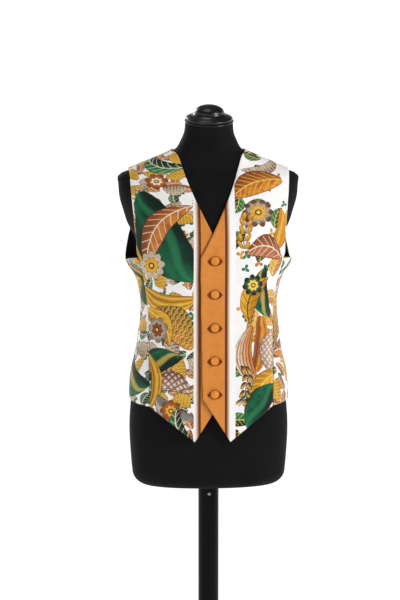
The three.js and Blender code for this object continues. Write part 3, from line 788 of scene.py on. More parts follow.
# The printed motifs: kind, place of the root (u, v), turn, length, half width, bend, power, count, and the
# colours of the dark side, the light side and the rib. Lengths are millimetres on the cloth, u is measured
# from the middle of the front or of the back, and a bloom's length is its radius.
RIGHT_MOTIFS = [
    ("leaf", -150, 1556, -24, 96, 19, -0.2, 0.7, 6, RUST, TAN, CREAM),
    ("leaf", -52, 1512, 156, 104, 24, 0.22, 0.7, 7, FOREST, LEAF, CREAM),
    ("bloom", -112, 1462, 12, 25, 0, 0, 0, 7, RUST, TAN, CREAM),
    ("lattice", -158, 1440, -86, 150, 25, 0.16, 0.6, 8, STONE, BEIGE, BROWN),
    ("drape", -30, 1232, 121, 232, 54, 0.12, 0.62, 5, FOREST, EMERALD, LEAF),
    ("leaf", -40, 1392, 236, 176, 27, -0.2, 0.7, 10, RUST, TAN, CREAM),
    ("bloom", -128, 1262, 10, 31, 0, 0, 0, 9, BEIGE, CREAM, GOLD),
    ("ribbon", -36, 1192, 171, 126, 22, 0.16, 0.42, 3, OCHRE, GOLD, LEMON),
    ("scales", -40, 1092, 148, 122, 34, -0.2, 0.62, 9, BROWN, TAN, LEMON),
    ("leaf", -158, 1168, -46, 100, 20, 0.22, 0.75, 7, OCHRE, GOLD, LEMON),
    ("bloom", -118, 1128, 20, 27, 0, 0, 0, 7, STONE, CREAM, RUST),
    ("drape", -158, 1010, 34, 116, 27, 0.2, 0.7, 4, FOREST, EMERALD, LEMON),
    ("lattice", -44, 1004, 176, 82, 21, -0.22, 0.6, 6, BROWN, BEIGE, RUST),
    ("ribbon", -142, 1080, -88, 118, 13, 0.2, 0.5, 2, OCHRE, GOLD, LEMON),
    ("drape", -38, 948, 150, 92, 24, 0.24, 0.7, 3, SMOKE, STONE, CREAM),
    ("bloom", -86, 962, 0, 24, 0, 0, 0, 8, RUST, TAN, GOLD),
    ("leaf", -44, 902, 112, 74, 15, 0.24, 0.7, 6, FOREST, LEAF, CREAM),
]
LEFT_MOTIFS = [
    ("leaf", 84, 1560, -16, 96, 17, 0.2, 0.7, 6, BROWN, STONE, CREAM),
    ("scales", 62, 1500, 22, 96, 17, -0.2, 0.6, 8, BROWN, BEIGE, CREAM),
    ("leaf", 152, 1466, 204, 116, 36, -0.16, 0.62, 8, RUST, AMBER, LEMON),
    ("bloom", 96, 1374, 0, 35, 0, 0, 0, 10, BROWN, CREAM, GOLD),
    ("drape", 150, 1384, 250, 104, 19, 0.24, 0.7, 4, OCHRE, AMBER, LEMON),
    ("vine", 68, 1296, 82, 78, 14, 0.1, 0.7, 5, OCHRE, GOLD, BROWN),
    ("leaf", 152, 1276, 172, 84, 24, -0.24, 0.7, 6, RUST, ROSE, CREAM),
    ("drape", 132, 1150, 101, 112, 23, 0.2, 0.7, 4, FOREST, EMERALD, LEMON),
    ("leaf", 78, 1140, 66, 106, 20, 0.22, 0.7, 7, OCHRE, GOLD, BROWN),
    ("bloom", 84, 1222, 8, 23, 0, 0, 0, 8, FOREST, LEAF, LEMON),
    ("ribbon", 106, 1156, 262, 116, 17, 0.06, 0.3, 2, RUST, AMBER, GOLD),
    ("ribbon", 100, 1010, 98, 128, 20, 0.22, 0.55, 3, TAN, CREAM, BROWN),
    ("lattice", 142, 1128, 262, 92, 20, -0.18, 0.6, 7, STONE, CREAM, ROSE),
    ("scales", 70, 998, 8, 92, 21, -0.14, 0.5, 8, BEIGE, CREAM, TAN),
    ("leaf", 160, 1040, 226, 108, 22, -0.2, 0.7, 7, OCHRE, GOLD, LEMON),
    ("drape", 76, 918, 52, 118, 28, 0.16, 0.62, 4, FOREST, EMERALD, LEAF),
    ("vine", 64, 1056, 262, 84, 12, 0.16, 0.7, 5, FOREST, GOLD, BROWN),
]
BACK_MOTIFS = [
    ("drape", -30, 1180, 128, 190, 44, 0.16, 0.62, 5, FOREST, EMERALD, LEAF),
    ("leaf", 8, 1320, 28, 150, 30, 0.18, 0.7, 8, RUST, TAN, CREAM),
    ("bloom", -16, 1278, 0, 34, 0, 0, 0, 9, BEIGE, CREAM, GOLD),
    ("lattice", 150, 1240, 116, 150, 26, 0.2, 0.6, 8, STONE, BEIGE, BROWN),
    ("ribbon", 12, 1180, 14, 140, 20, -0.2, 0.45, 3, OCHRE, GOLD, LEMON),
    ("scales", 30, 1090, 26, 124, 32, 0.2, 0.62, 9, BROWN, TAN, LEMON),
    ("drape", -10, 1010, 152, 150, 34, 0.2, 0.62, 4, FOREST, EMERALD, LEMON),
    ("bloom", 4, 1092, 20, 30, 0, 0, 0, 8, RUST, TAN, CREAM),
    ("leaf", -160, 1150, 44, 120, 22, 0.2, 0.7, 7, OCHRE, GOLD, LEMON),
    ("leaf", 150, 1030, 156, 116, 25, -0.2, 0.7, 8, RUST, AMBER, CREAM),
    ("ribbon", -30, 960, 190, 120, 15, 0.24, 0.5, 3, RUST, CREAM, TAN),
    ("bloom", 92, 972, 0, 27, 0, 0, 0, 9, STONE, CREAM, RUST),
    ("vine", 20, 1376, 96, 110, 15, 0.16, 0.7, 6, FOREST, GOLD, BROWN),
    ("leaf", -60, 1340, 152, 118, 25, 0.22, 0.7, 7, OCHRE, AMBER, LEMON),
    ("bloom", -104, 1290, 6, 25, 0, 0, 0, 8, FOREST, LEAF, LEMON),
    ("drape", 150, 1440, 200, 132, 28, 0.2, 0.62, 4, FOREST, EMERALD, GOLD),
    ("leaf", -34, 1432, 172, 126, 24, -0.2, 0.7, 7, RUST, ROSE, CREAM),
    ("lattice", -150, 1380, 20, 96, 18, 0.2, 0.6, 7, BROWN, CREAM, ROSE),
    ("bloom", 66, 1448, 0, 27, 0, 0, 0, 9, RUST, GOLD, CREAM),
    ("scales", -70, 1500, 168, 100, 18, -0.2, 0.6, 8, BROWN, BEIGE, CREAM),
    ("ribbon", 26, 1492, 10, 128, 14, -0.22, 0.5, 2, OCHRE, GOLD, LEMON),
    ("leaf", 10, 1554, 196, 120, 18, 0.2, 0.7, 7, FOREST, LEAF, CREAM),
    ("leaf", 128, 1120, 62, 96, 20, 0.2, 0.7, 7, OCHRE, AMBER, CREAM),
    ("drape", -96, 1060, 208, 104, 24, -0.2, 0.62, 4, FOREST, EMERALD, LEAF),
    ("leaf", -118, 1236, 68, 92, 18, -0.22, 0.7, 6, RUST, TAN, CREAM),
    ("ribbon", 96, 1388, 38, 98, 14, 0.2, 0.5, 2, OCHRE, GOLD, LEMON),
    ("leaf", -150, 1440, 82, 90, 17, 0.2, 0.7, 6, FOREST, LEAF, CREAM),
    ("scales", 112, 1538, 172, 90, 16, 0.2, 0.6, 8, BROWN, TAN, LEMON),
]

# Small motifs strewn under the large ones: kind, spacing, shift, colours of two sorts, share left out
DENSE = [
    ("leaf", 36, 13, ((RUST, TAN, CREAM), (FOREST, LEAF, CREAM)), 0.1),
    ("scales", 50, 37, ((BROWN, BEIGE, CREAM), (OCHRE, GOLD, LEMON)), 0.2),
]
OPEN = [
    ("leaf", 50, 21, ((OCHRE, GOLD, CREAM), (FOREST, LEAF, LEMON)), 0.5),
]
SPRIG_SPACING = 22
MOTIF_LINE, SMALL_LINE = 1.25, 0.7

# The front band from its middle out: where a tone is reached, and the tone
BAND_TONES = [
    (24.3, BAND),
    (25.0, srgb(92, 34, 12)),
    (28.4, srgb(122, 62, 30)),
    (31.0, srgb(184, 144, 112)),
    (33.8, srgb(230, 216, 200)),
    (36.5, WHITE),
]
# Painted shade laid in gaps and under overlaps: its dark tone, and how far round a point other surfaces are
# looked for, in millimetres
PAINTED_SHADE_TONE = srgb(70, 24, 4)
PAINTED_SHADE_REACH = 9


class Motif(Paint):
    """A node group that lays one printed motif, at its own place and turn, over the colour under it."""

    VECTORS = ("Coordinates", "Place", "Turn", "Size")
    NUMBERS = ("Half", "Bend", "Power", "Count", "Line")
    COLOURS = ("Under", "Dark", "Light", "Rib")

    def __init__(self, name):
        super().__init__(bpy.data.node_groups.new(name, "ShaderNodeTree"))
        sockets = self.tree.interface
        for kind, names in (("Vector", self.VECTORS), ("Float", self.NUMBERS), ("Color", self.COLOURS)):
            for entry in names:
                sockets.new_socket(entry, in_out="INPUT", socket_type=f"NodeSocket{kind}")
        sockets.new_socket("Colour", in_out="OUTPUT", socket_type="NodeSocketColor")
        given = self.add("NodeGroupInput").outputs
        mapped = zip(("Vector", "Location", "Rotation", "Scale"), (given[k] for k in self.VECTORS))
        self.place = self.add("ShaderNodeMapping", dict(mapped), vector_type="TEXTURE").outputs[0]
        self.x, self.y = self.split(self.place)
        self.half, self.bend, self.power, self.count, self.line = self.fields(given[k] for k in self.NUMBERS)
        self.under, self.dark, self.light, self.rib = (given[k] for k in self.COLOURS)
        self.bowed = self.share = None

    def wash(self, depth):
        """The first colour, from dark to light, with uneven depth of dye as if laid on with a brush."""
        self.colour = self.over(self.dark, self.light, depth)
        cloud = self.noise(self.place, 7, 4)
        self.lay(self.dark, cloud.ramp(0.46, 0.68) * 0.7)
        self.lay(self.rib, cloud.ramp(0.42, 0.24) * 0.16)

    def finish(self, share):
        self.add("NodeGroupOutput", {"Colour": self.over(self.under, self.colour, share)})
        return self.tree


def veined(motif):
    """Side veins, fine hatching on the shaded half and a midrib."""
    bowed, share = motif.bowed, motif.share
    vein = (motif.x + abs(bowed) * -0.9) * motif.count
    streak = abs(vein.fraction() - 0.5).below(0.07) * abs(share).below(0.88)
    hatch = abs((vein * 5).fraction() - 0.5).below(0.17) * share.below(-0.3)
    motif.lay(INK, hatch * 0.38)
    motif.lay(motif.rib, streak * 0.75)
    motif.lay(motif.rib, abs(bowed).below(motif.line * 1.1) * motif.x.below(0.93))


def striped(motif):
    """Long rounded flutes with a light crest and an ink line in each groove."""
    flute = abs((motif.share * motif.count * 0.5 + 0.5).fraction() - 0.5)
    motif.lay(motif.rib, flute.ramp(0.2, 0.02) * 0.8)
    motif.lay(INK, flute.above(0.44) * 0.85)


def draped(motif):
    """Soft folds that run along the shape, with bright crests."""
    fold = ((motif.share * 0.5 + (motif.x * 3.1).sine() * 0.55) * motif.count).sine()
    motif.lay(motif.dark, fold.ramp(0.1, -0.9) * 0.85)
    motif.lay(motif.rib, fold.ramp(0.78, 1.02) * 0.55)
    motif.lay(INK, abs(fold + 0.86).below(0.035) * abs(motif.share).below(0.9) * 0.7)


def latticed(motif):
    """A basket of crossing strips."""
    ways = (motif.x + motif.bowed, motif.x - motif.bowed)
    one, other = (abs((way * motif.count).fraction() - 0.5) for way in ways)
    motif.lay(WHITE, one.ramp(0.1, 0.36) * other.ramp(0.1, 0.36) * 0.55)
    motif.lay(motif.rib, one.below(0.1).most(other.below(0.1)) * 0.8)
    motif.lay(INK, abs(motif.share).above(0.74) * abs(motif.share).below(0.8) * 0.75)


def scaled(motif):
    """Rows of overlapping scales."""
    row = motif.x * motif.count * 1.5
    odd = (row * 0.5).fraction().above(0.5) * 0.5
    cell = (motif.bowed * motif.count + odd).fraction() - 0.5
    tip = row.fraction() + cell * cell * 1.8
    motif.lay(motif.rib, tip.ramp(0.25, 0.85) * 0.7)
    motif.lay(INK, abs(tip - 1).below(0.09) * 0.85)
    motif.lay(INK, abs(cell).below(0.04) * row.fraction().below(0.4) * 0.6)


def blade_motif(name, fill):
    """A bent, pointed shape from its root along its own x axis, filled and outlined in ink."""
    motif = Motif(name)
    arch = motif.x * (motif.x * -1 + 1) * 4
    width = arch.most(0.0001) ** motif.power * motif.half
    motif.bowed = motif.y - arch * motif.bend
    motif.share = motif.bowed / width
    reach = abs(motif.share)
    motif.wash((motif.share.times_add(0.42, 0.5) + motif.x * -0.25).ramp(0.0, 0.7))
    fill(motif)
    motif.lay(INK, ((reach * -1 + 1) * width).below(motif.line))
    return motif.finish(reach.below(1) * arch.above(0.004))


def vine_motif(name):
    """A waving stem with a leaflet on either side at every step."""
    motif = Motif(name)
    x, half = motif.x, motif.half
    arch = x * (x * -1 + 1) * 4
    bowed = motif.y - arch * motif.bend - (x * 9).sine() * 0.03
    along = ((x * motif.count).fraction() - 0.45) / motif.count / (half * 0.62)
    out = (abs(bowed) - half * 0.56) / (half * 0.44)
    slant = along - out * 0.55
    reach = (slant * slant + out * out) ** 0.5
    stem = abs(bowed).below(motif.line * 0.9)
    motif.colour = motif.over(motif.dark, motif.light, slant.ramp(-0.6, 0.7))
    motif.lay(INK, reach.above(0.82))
    motif.lay(motif.rib, stem)
    return motif.finish(reach.below(1).most(stem) * (x.above(0.0) * x.below(1.0)))


def bloom_motif(name):
    """A round flower with lobed petals, fine rays, an inner ring and an eye."""
    motif = Motif(name)
    x, y, line = motif.x, motif.y, motif.line
    reach = (x * x + y * y) ** 0.5
    around = y.turn_of(x) * motif.count * 0.5
    lobe = abs(around.cosine())
    share = reach / lobe.times_add(0.24, 0.76)
    rays = abs((around * 3).sine()).below(0.22) * reach.above(0.5) * reach.below(0.8)
    inner_edge = abs(around.sine()).times_add(0.16, 0.4)
    motif.wash((reach + lobe * 0.2).ramp(1.0, 0.5))
    motif.lay(INK, rays * 0.5)
    motif.lay(INK, (lobe * reach).below(line * 0.8) * reach.above(0.3))
    motif.lay(motif.rib, reach.below(inner_edge))
    motif.lay(INK, abs(reach - inner_edge).below(line * 0.5))
    motif.lay(BROWN, reach.below(0.19))
    motif.lay(LEMON, reach.below(0.12))
    motif.lay(INK, abs(reach - 0.2).below(line * 0.45))
    motif.lay(INK, (share * -1 + 1).below(line))
    return motif.finish(share.below(1))


def motif_groups():
    fills = {"leaf": veined, "ribbon": striped, "drape": draped, "lattice": latticed, "scales": scaled}
    groups = {name: blade_motif(name, fill) for name, fill in fills.items()}
    return groups | {"vine": vine_motif("vine"), "bloom": bloom_motif("bloom")}


def motif_layer(paint, vector, groups, motif):
    """One row of a motif table, laid over the colour so far."""
    kind, u, v, turn, length, half, bend, power, count, dark, light, rib = motif
    values = {"Coordinates": vector, "Place": (u * MM, v * MM, 0), "Turn": (0, 0, math.radians(turn))}
    values |= {"Size": (length * MM, length * MM, 1), "Half": half / length, "Bend": bend, "Power": power}
    values |= {"Count": count, "Line": MOTIF_LINE / length}
    values |= {"Under": paint.colour, "Dark": dark, "Light": light, "Rib": rib}
    paint.colour = paint.add("ShaderNodeGroup", values, node_tree=groups[kind]).outputs[0]


def strewn_spots(paint, vector, spacing, randomness):
    """One spot in each cell of a loose grid: the way from it, its distance and three random numbers."""
    feeds = {"Vector": vector, "Scale": 1 / (spacing * MM), "Randomness": randomness}
    cells = paint.add("ShaderNodeTexVoronoi", feeds, voronoi_dimensions="2D", feature="F1").outputs
    numbers = paint.fields(paint.add("ShaderNodeSeparateColor", {0: cells["Color"]}).outputs)
    offset = paint.vector_math("SUBTRACT", vector, cells["Position"])
    return offset, Field(paint.tree, cells["Distance"]), numbers


def scatter_layer(paint, vector, groups, kind, spacing, shift, hues, least):
    """Small motifs of one kind strewn at random places and turns, in two sorts of colours."""
    moved = paint.vector_math("ADD", vector, (shift * MM, shift * 0.6 * MM, 0))
    offset, _, (pick, spin, chance) = strewn_spots(paint, moved, spacing, 0.55)
    feeds = {"Vector": offset, "Angle": spin * 6.283}
    turned = paint.add("ShaderNodeVectorRotate", feeds, rotation_type="Z_AXIS").outputs[0]
    values = {"Coordinates": turned, "Place": (-spacing / 2 * MM, 0, 0), "Turn": (0, 0, 0)}
    values |= {"Size": (spacing * MM, spacing * MM, 1), "Half": 0.3, "Bend": 0.14, "Power": 0.7}
    values |= {"Count": 5, "Line": SMALL_LINE / spacing, "Under": paint.colour}
    for name, (one, other) in zip(("Dark", "Light", "Rib"), zip(*hues)):
        values[name] = paint.over(one, other, pick.above(0.5))
    small = paint.add("ShaderNodeGroup", values, node_tree=groups[kind]).outputs[0]
    paint.lay(small, chance.above(least))


def sprig_layer(paint, vector):
    """Small leaves and berries strewn over the white ground between the large motifs."""
    offset, reach, (pick, spin, size) = strewn_spots(paint, vector, SPRIG_SPACING, 0.8)
    x, y = paint.split(offset)
    turn = (y.turn_of(x) + spin * 6.283) * 1.5
    lobe = abs(turn.cosine()) * 0.4 + 0.03
    hue = paint.over(LEAF, TAN, pick.above(0.4))
    hue = paint.over(hue, GOLD, pick.above(0.7))
    hue = paint.over(hue, INK, (lobe - reach).below(0.045) * 0.85)
    hue = paint.over(hue, INK, abs(turn.sine()).below(0.12) * 0.6)
    paint.lay(hue, reach.below(lobe) * size.above(0.75))


def band_layer(paint, flat, print_from):
    """The plain front band with its brown stripe and beige fade, and the white strip beside it."""
    across = abs(paint.split(flat)[0])
    paint.lay(WHITE, across.below(print_from * MM))
    deep = tuple(c * 0.8 for c in BAND)
    band = paint.over(BAND, deep, paint.noise(flat, 75, 4).ramp(0.4, 0.75) * 0.5)
    for (start, _), (end, tone) in zip(BAND_TONES, BAND_TONES[1:]):
        band = paint.over(band, tone, across.ramp(start * MM, end * MM))
    paint.lay(band, across.below(BAND_TONES[-1][0] * MM))


def motifs_in(motifs, zone):
    """The motifs that show in one of the four zones of the repeating print."""
    right, high = zone % 2, zone // 2
    kept = []
    for kind, u, v, turn, length, half, bend, *rest in motifs:
        cos, sin = math.cos(math.radians(turn)), math.sin(math.radians(turn))
        along, across = (0, length) if kind == "bloom" else (length / 2, half + abs(bend) * length)
        round_off = length if kind == "bloom" else 0
        reach_u = abs(cos) * along + abs(sin) * across + round_off + ZONE_MARGIN
        reach_v = abs(sin) * along + abs(cos) * across + round_off + ZONE_MARGIN
        side = v + sin * along - ZONE_HEIGHT
        if (side if high else -side) < -reach_v:
            continue
        for shift in (-PRINT_WIDTH, 0, PRINT_WIDTH):
            away = u + cos * along + shift - (0.5 if right else -0.5) * PRINT_WIDTH / 2
            if abs(away) < PRINT_WIDTH / 4 + reach_u:
                kept.append((kind, u + shift, v, turn, length, half, bend, *rest))
    return kept


def weave_normal(paint, vector, fine=0.00018):
    """A fine twill with faint slubs."""
    feeds = {"Vector": vector, "Rotation": (0, 0, math.radians(52))}
    turned = paint.add("ShaderNodeMapping", feeds).outputs[0]
    twill = paint.bump(paint.ribs(turned, 320, distortion=0.6), 0.12, fine)
    return paint.bump(paint.noise(vector, 140, 4), 0.1, fine * 2.2, twill)


def silk_material(name, groups, motifs, scattered, print_from=None):
    """Printed silk: sprigs, then the motifs of a table, then the front band where there is one, then painted
    shade where other surfaces stand close.
    """
    paint = Finish(name, srgb(226, 196, 150), 0.46, sheen=0.03, specular=0.16)
    flat, wrapped = (paint.add("ShaderNodeUVMap", uv_map=layer).outputs[0] for layer in ("cloth", "print"))
    wobble = paint.wobble(flat, 34, 0.0032)
    strewn, drawn = (paint.vector_math("ADD", place, wobble) for place in (flat, wrapped))
    paint.colour = paint.over(WHITE, CREAM, paint.noise(flat, 12, 2).ramp(0.5, 0.8) * 0.16)
    sprig_layer(paint, strewn)
    for row in scattered:
        scatter_layer(paint, strewn, groups, *row)
    for motif in motifs:
        motif_layer(paint, drawn, groups, motif)
    paint.lay(INK, paint.noise(flat, 70, 5).ramp(0.35, 0.72) * 0.05)
    if print_from:
        band_layer(paint, flat, print_from)
    # Painted shade: the colour darkens towards a dark brown where other surfaces stand close, as along the
    # lap's edge and round the buttons
    paint.lay(paint.over(paint.colour, PAINTED_SHADE_TONE, 0.72), paint.painted_shade_share(PAINTED_SHADE_REACH))
    gloss = paint.noise(flat, 30, 3).times_add(0.12, 0.4)
    return paint.shade({"Base Color": paint.colour, "Roughness": gloss, "Normal": weave_normal(paint, flat)})


def plain_silk_material(name, tone):
    paint = Finish(name, tone, 0.46, sheen=0.04, specular=0.2)
    vector = paint.object_place()
    deep = tuple(c * 0.72 for c in tone)
    colour = paint.over(tone, deep, paint.noise(vector, 90, 4).ramp(0.3, 0.75) * 0.5)
    creases = paint.bump(paint.noise(vector, 420, 2), 0.25, 0.0004)
    weave = paint.bump(paint.ribs(vector, 400, "Z", 0.8), 0.12, 0.0002, creases)
    return paint.shade({"Base Color": colour, "Normal": weave})


def lining_material(name):
    paint = Finish(name, srgb(84, 76, 78), 0.5, sheen=0.05, specular=0.3)
    vector = paint.object_place()
    weave = paint.bump(paint.ribs(vector, 500, "DIAGONAL", 1.0), 0.1, 0.0002)
    return paint.shade({"Roughness": paint.noise(vector, 60, 3).times_add(0.1, 0.42), "Normal": weave})


def jersey_material(name):
    tone = srgb(17, 15, 17)
    paint = Finish(name, tone, 0.75, sheen=0.01, specular=0.09)
    vector = paint.object_place()
    colour = paint.over(tone, srgb(24, 22, 24), paint.noise(vector, 24, 5).ramp(0.3, 0.75) * 0.6)
    courses, wales = paint.ribs(vector, 260, "Z", 1.2), paint.ribs(vector, 300, "X", 1.2)
    knit = paint.bump(courses * wales, 0.35, 0.0005)
    fuzz = paint.bump(paint.noise(vector, 900, 2), 0.2, 0.0004, knit)
    return paint.shade({"Base Color": colour, "Normal": fuzz})


def gloss_material(name):
    paint = Finish(name, (0.003, 0.003, 0.003), 0.3)
    vector = paint.object_place()
    peel = paint.bump(paint.noise(vector, 160, 2), 0.05, 0.0003)
    return paint.shade({"Roughness": paint.noise(vector, 40, 5).times_add(0.12, 0.25), "Normal": peel})


def painted_material(name):
    paint = Finish(name, (0.003, 0.003, 0.0035), 0.36, specular=0.09)
    vector = paint.object_place()
    grain = paint.bump(paint.noise(vector, 1400, 3), 0.25, 0.0002)
    return paint.shade({"Roughness": paint.noise(vector, 18, 6).times_add(0.2, 0.26), "Normal": grain})


def steel_material(name):
    paint = Finish(name, (0.32, 0.32, 0.33), 0.32, metallic=1.0)
    return paint.shade({"Roughness": paint.ribs(paint.object_place(), 900, "X", 2.0).times_add(0.2, 0.25)})


# Form, stand and buttons
def loop_faces(rings, sides):
    """Quads between rings of points, each ring closed on itself."""
    j, k = np.meshgrid(np.arange(rings - 1), np.arange(sides), indexing="ij")
    a, b = j * sides + k, j * sides + (k + 1) % sides
    return np.stack([a, b, b + sides, a + sides], axis=-1).reshape(-1, 4).tolist()


def mesh_object(name, points, faces, material):
    mesh = bpy.data.meshes.new(name)
    mesh.from_pydata([tuple(p) for p in points], [], [tuple(f) for f in faces])
    mesh.materials.append(material)
    mesh.shade_smooth()
    piece = added(name, mesh)
    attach(piece, "root")
    return piece


def lathe_object(name, outline, material, place=Matrix.Identity(4), segments=96, soft=35):
    """A turned piece from [radius, height] pairs in millimetres, with its sharp corners kept."""
    rings = [(radius * MM, height * MM) for radius, height in outline]
    turns = [2 * math.pi * k / segments for k in range(segments)]
    points = [Vector((r * math.cos(t), r * math.sin(t), h)) for r, h in rings for t in turns]
    faces = loop_faces(len(rings), segments)
    piece = mesh_object(name, [place @ p for p in points], faces, material)
    edited(piece.data, welded(1e-6), lambda work: bmesh.ops.recalc_face_normals(work, faces=work.faces))
    piece.data.shade_smooth()
    piece.data.set_sharp_from_angle(angle=math.radians(soft))
    return piece


def shoulder_pad(points):
    """The padding under the jersey that fills the armholes below the shoulder plates."""
    y, z = points[..., 1], points[..., 2]
    across = np.clip(np.abs(y - PAD_MIDDLE) / PAD_HALF, 0, 1)
    return PAD_OUT * np.cos(across * math.pi / 2) ** 2 * ramp(z, *PAD_RISE) * (1 - ramp(z, *PAD_FALL))


def torso_object(material):
    """The form as one smooth loft, with a rounded lower edge and a leaning neck."""
    samples = np.linspace(FORM_FOOT + FORM_ROUND, NECK_Z, 3000)
    half, front = form_sections(samples)[:2]
    steps = np.hypot(np.hypot(np.diff(half), np.diff(front)), np.diff(samples))
    run = np.concatenate([[0], np.cumsum(steps)])
    heights = np.interp(np.linspace(0, run[-1], TORSO_RINGS), run, samples)
    turn = np.linspace(0, math.pi / 2, TORSO_CORNER + 1)[:-1]
    low = FORM_FOOT + FORM_ROUND * (1 - np.cos(turn))
    inset = np.concatenate([FORM_ROUND * (1 - np.sin(turn)), np.zeros(TORSO_RINGS)])
    levels = np.concatenate([low, heights])
    angle = np.linspace(0, 2 * math.pi, TORSO_SIDES, endpoint=False)
    rows = [point_at(form_sections, angle, np.full(TORSO_SIDES, z), i) for z, i in zip(levels, inset)]
    loft = np.array(rows)
    loft[..., 0] += np.sign(loft[..., 0]) * shoulder_pad(loft)
    points = loft.reshape(-1, 3) * MM
    foot = range(TORSO_SIDES)
    faces = loop_faces(len(levels), TORSO_SIDES)
    faces += [tuple(foot)[::-1], tuple((len(levels) - 1) * TORSO_SIDES + k for k in foot)]
    piece = mesh_object("torso_cover", points, faces, material)
    piece.data.set_sharp_from_angle(angle=math.radians(50))
    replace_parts(piece, "form_torso")
    return piece


def neck_place(height):
    lean = Matrix.Rotation(NECK_TILT, 4, "X")
    return Matrix.Translation((0, NECK_Y * MM, NECK_Z * MM)) @ lean @ Matrix.Translation((0, 0, height * MM))


def neck_objects(material):
    cap = [
        (AXIS, 0), (46, 0), (48, 0.6), (48.8, 1.6), (48.8, 4.4), (48.2, 5.8), (46.5, 7), (43, 8.5),
        (38.5, 10.2), (34.6, 12.2), (32.2, 14.4), (31.2, 17), (30.4, 19.6), (28.6, 22.6), (25.6, 25.2),
        (21, 27.7), (15.5, 29.7), (9, 31), (4, 31.5), (AXIS, 31.6),
    ]
    ring = [(49.8, 0), (50.8, 0.5), (51.2, 1.5), (50.8, 2.5), (49.8, RING_HEIGHT)]
    ring = [(AXIS, 0), *ring, (AXIS, RING_HEIGHT)]
    on_ring, on_neck = neck_place(RING_HEIGHT + 2 * STAND_GAP), neck_place(STAND_GAP)
    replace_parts(lathe_object("cap_turned", cap, material, on_ring), "neck_cap")
    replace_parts(lathe_object("ring_turned", ring, material, on_neck), "neck_ring")


def stand_objects(paint, steel):
    floor = Matrix.Identity(4)
    on_base = Matrix.Translation((0, 0, (BASE_HEIGHT + STAND_GAP) * MM))
    base = [
        (AXIS, 0), (BASE_RADIUS - 1, 0), (BASE_RADIUS, 1), (BASE_RADIUS, 8.4), (BASE_RADIUS - 0.8, 10.6),
        (BASE_RADIUS - 3, BASE_HEIGHT), (AXIS, BASE_HEIGHT),
    ]
    bore = POLE_RADIUS + STAND_GAP
    collar = [
        (bore, 0), (COLLAR_RADIUS - 0.6, 0), (COLLAR_RADIUS, 0.8), (COLLAR_RADIUS, 5),
        (COLLAR_RADIUS - 1.4, 6.6), (34, 8.6), (30, 11.5), (bore + 6.4, 16), (bore + 6, 19),
        (bore + 5, COLLAR_HEIGHT), (bore, COLLAR_HEIGHT), (bore, 0),
    ]
    top = FORM_FOOT - BASE_HEIGHT - 2 * STAND_GAP
    pole = [(AXIS, 0), (POLE_RADIUS, 0), (POLE_RADIUS, top - 0.6), (POLE_RADIUS - 0.6, top), (AXIS, top)]
    screw = [(AXIS, 0), (3.6, 0), (3.6, 1.3), (3.2, 2), (2.7, 2.4), (1.5, 2.4), (1.45, 1), (AXIS, 0.9)]
    on_pole = Matrix.Translation((0, -(POLE_RADIUS + STAND_GAP) * MM, SCREW_Z * MM))
    outwards = on_pole @ Matrix.Rotation(math.pi / 2, 4, "X")
    turned = [
        # piece, node, outline, material, slot, place, sides
        ("base_turned", "base_plate", base, paint, "black_paint", floor, 160),
        ("collar_turned", "base_collar", collar, paint, "black_paint", on_base, 96),
        ("pole_turned", "pole", pole, paint, "black_paint", on_base, 96),
        ("screw_turned", "pole_screw", screw, steel, "screw_steel", outwards, 48),
    ]
    for name, node, outline, material, slot, place, sides in turned:
        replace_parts(lathe_object(name, outline, material, place, sides), node)


def button_place(z):
    """Where a button sits on the upper front, square to the cloth."""
    place = seen_at([(BUTTON_X, z)]).T
    normal = normal_at(*place)[0]
    foot = point_at(vest_sections, *place)[0] + normal * (lap_lift(BUTTON_X) + CLOTH + SEAT_GAP)
    turn = Vector(normal).to_track_quat("Z", "Y").to_matrix().to_4x4()
    return Matrix.Translation(Vector(foot) * MM) @ turn


def button_objects(cover, thread, shadow):
    for n, z in enumerate(BUTTON_HEIGHTS, 1):
        place = button_place(z)
        button = lathe_object(f"covered_button_{n}", BUTTON_OUTLINE, cover, place, 64, 60)
        centre = place.translation
        for vertex in button.data.vertices:
            away = vertex.co - centre
            turn = math.atan2(away.z, away.x)
            reach = math.hypot(away.x, away.z) / (BUTTON_RADIUS * MM)
            pucker = math.sin(11 * turn + n) + 0.6 * math.sin(17 * turn + 2 * n)
            vertex.co.y += 0.00010 * pucker * max(0.0, reach - 0.45)
        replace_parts(button, f"button_{n}")
        buttonhole_objects(n, z, thread, shadow)


def buttonhole_objects(n, z, thread, shadow):
    """The slit that gapes round a button's neck: a dark lens-shaped sheet of painted shade, with a worked
    edge of thread.
    """
    turn = np.linspace(0, 2 * math.pi, HOLE_SIDES, endpoint=False)
    share = np.cos(turn)
    x, y = HOLE_HALF * share, HOLE_OPENING * np.sign(np.sin(turn)) * (1 - share**2) ** HOLE_POWER
    middle = z - HOLE_DROP
    rim = on_upper_front(BUTTON_X + x, middle + y, RIM_LIFT)
    curve = bpy.data.curves.new(f"buttonhole_rim_{n}", "CURVE")
    curve.dimensions = "3D"
    curve.bevel_depth = RIM_RADIUS * MM
    curve.bevel_resolution = 3
    spline = curve.splines.new("POLY")
    spline.points.add(HOLE_SIDES - 1)
    for point, spot in zip(spline.points, rim * MM):
        point.co = (*spot, 1)
    spline.use_cyclic_u = True
    curve.materials.append(thread)
    piece = added(f"buttonhole_rim_{n}", curve)
    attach(piece, "root")
    # The slit's lens: a dark sheet of painted shade that lies on the upper front
    shares = np.linspace(1, 0.2, HOLE_RINGS)
    lens = [on_upper_front(BUTTON_X + x * k, middle + y * k, SLIT_LIFT) for k in shares]
    centre = on_upper_front(np.array([BUTTON_X]), np.array([middle]), SLIT_LIFT)
    points = np.vstack([*lens, centre]) * MM
    faces = loop_faces(HOLE_RINGS, HOLE_SIDES)
    last = (HOLE_RINGS - 1) * HOLE_SIDES
    faces += [(last + k, last + (k + 1) % HOLE_SIDES, len(points) - 1) for k in range(HOLE_SIDES)]
    mesh_object(f"buttonhole_slit_shade_{n}", points, faces, shadow)


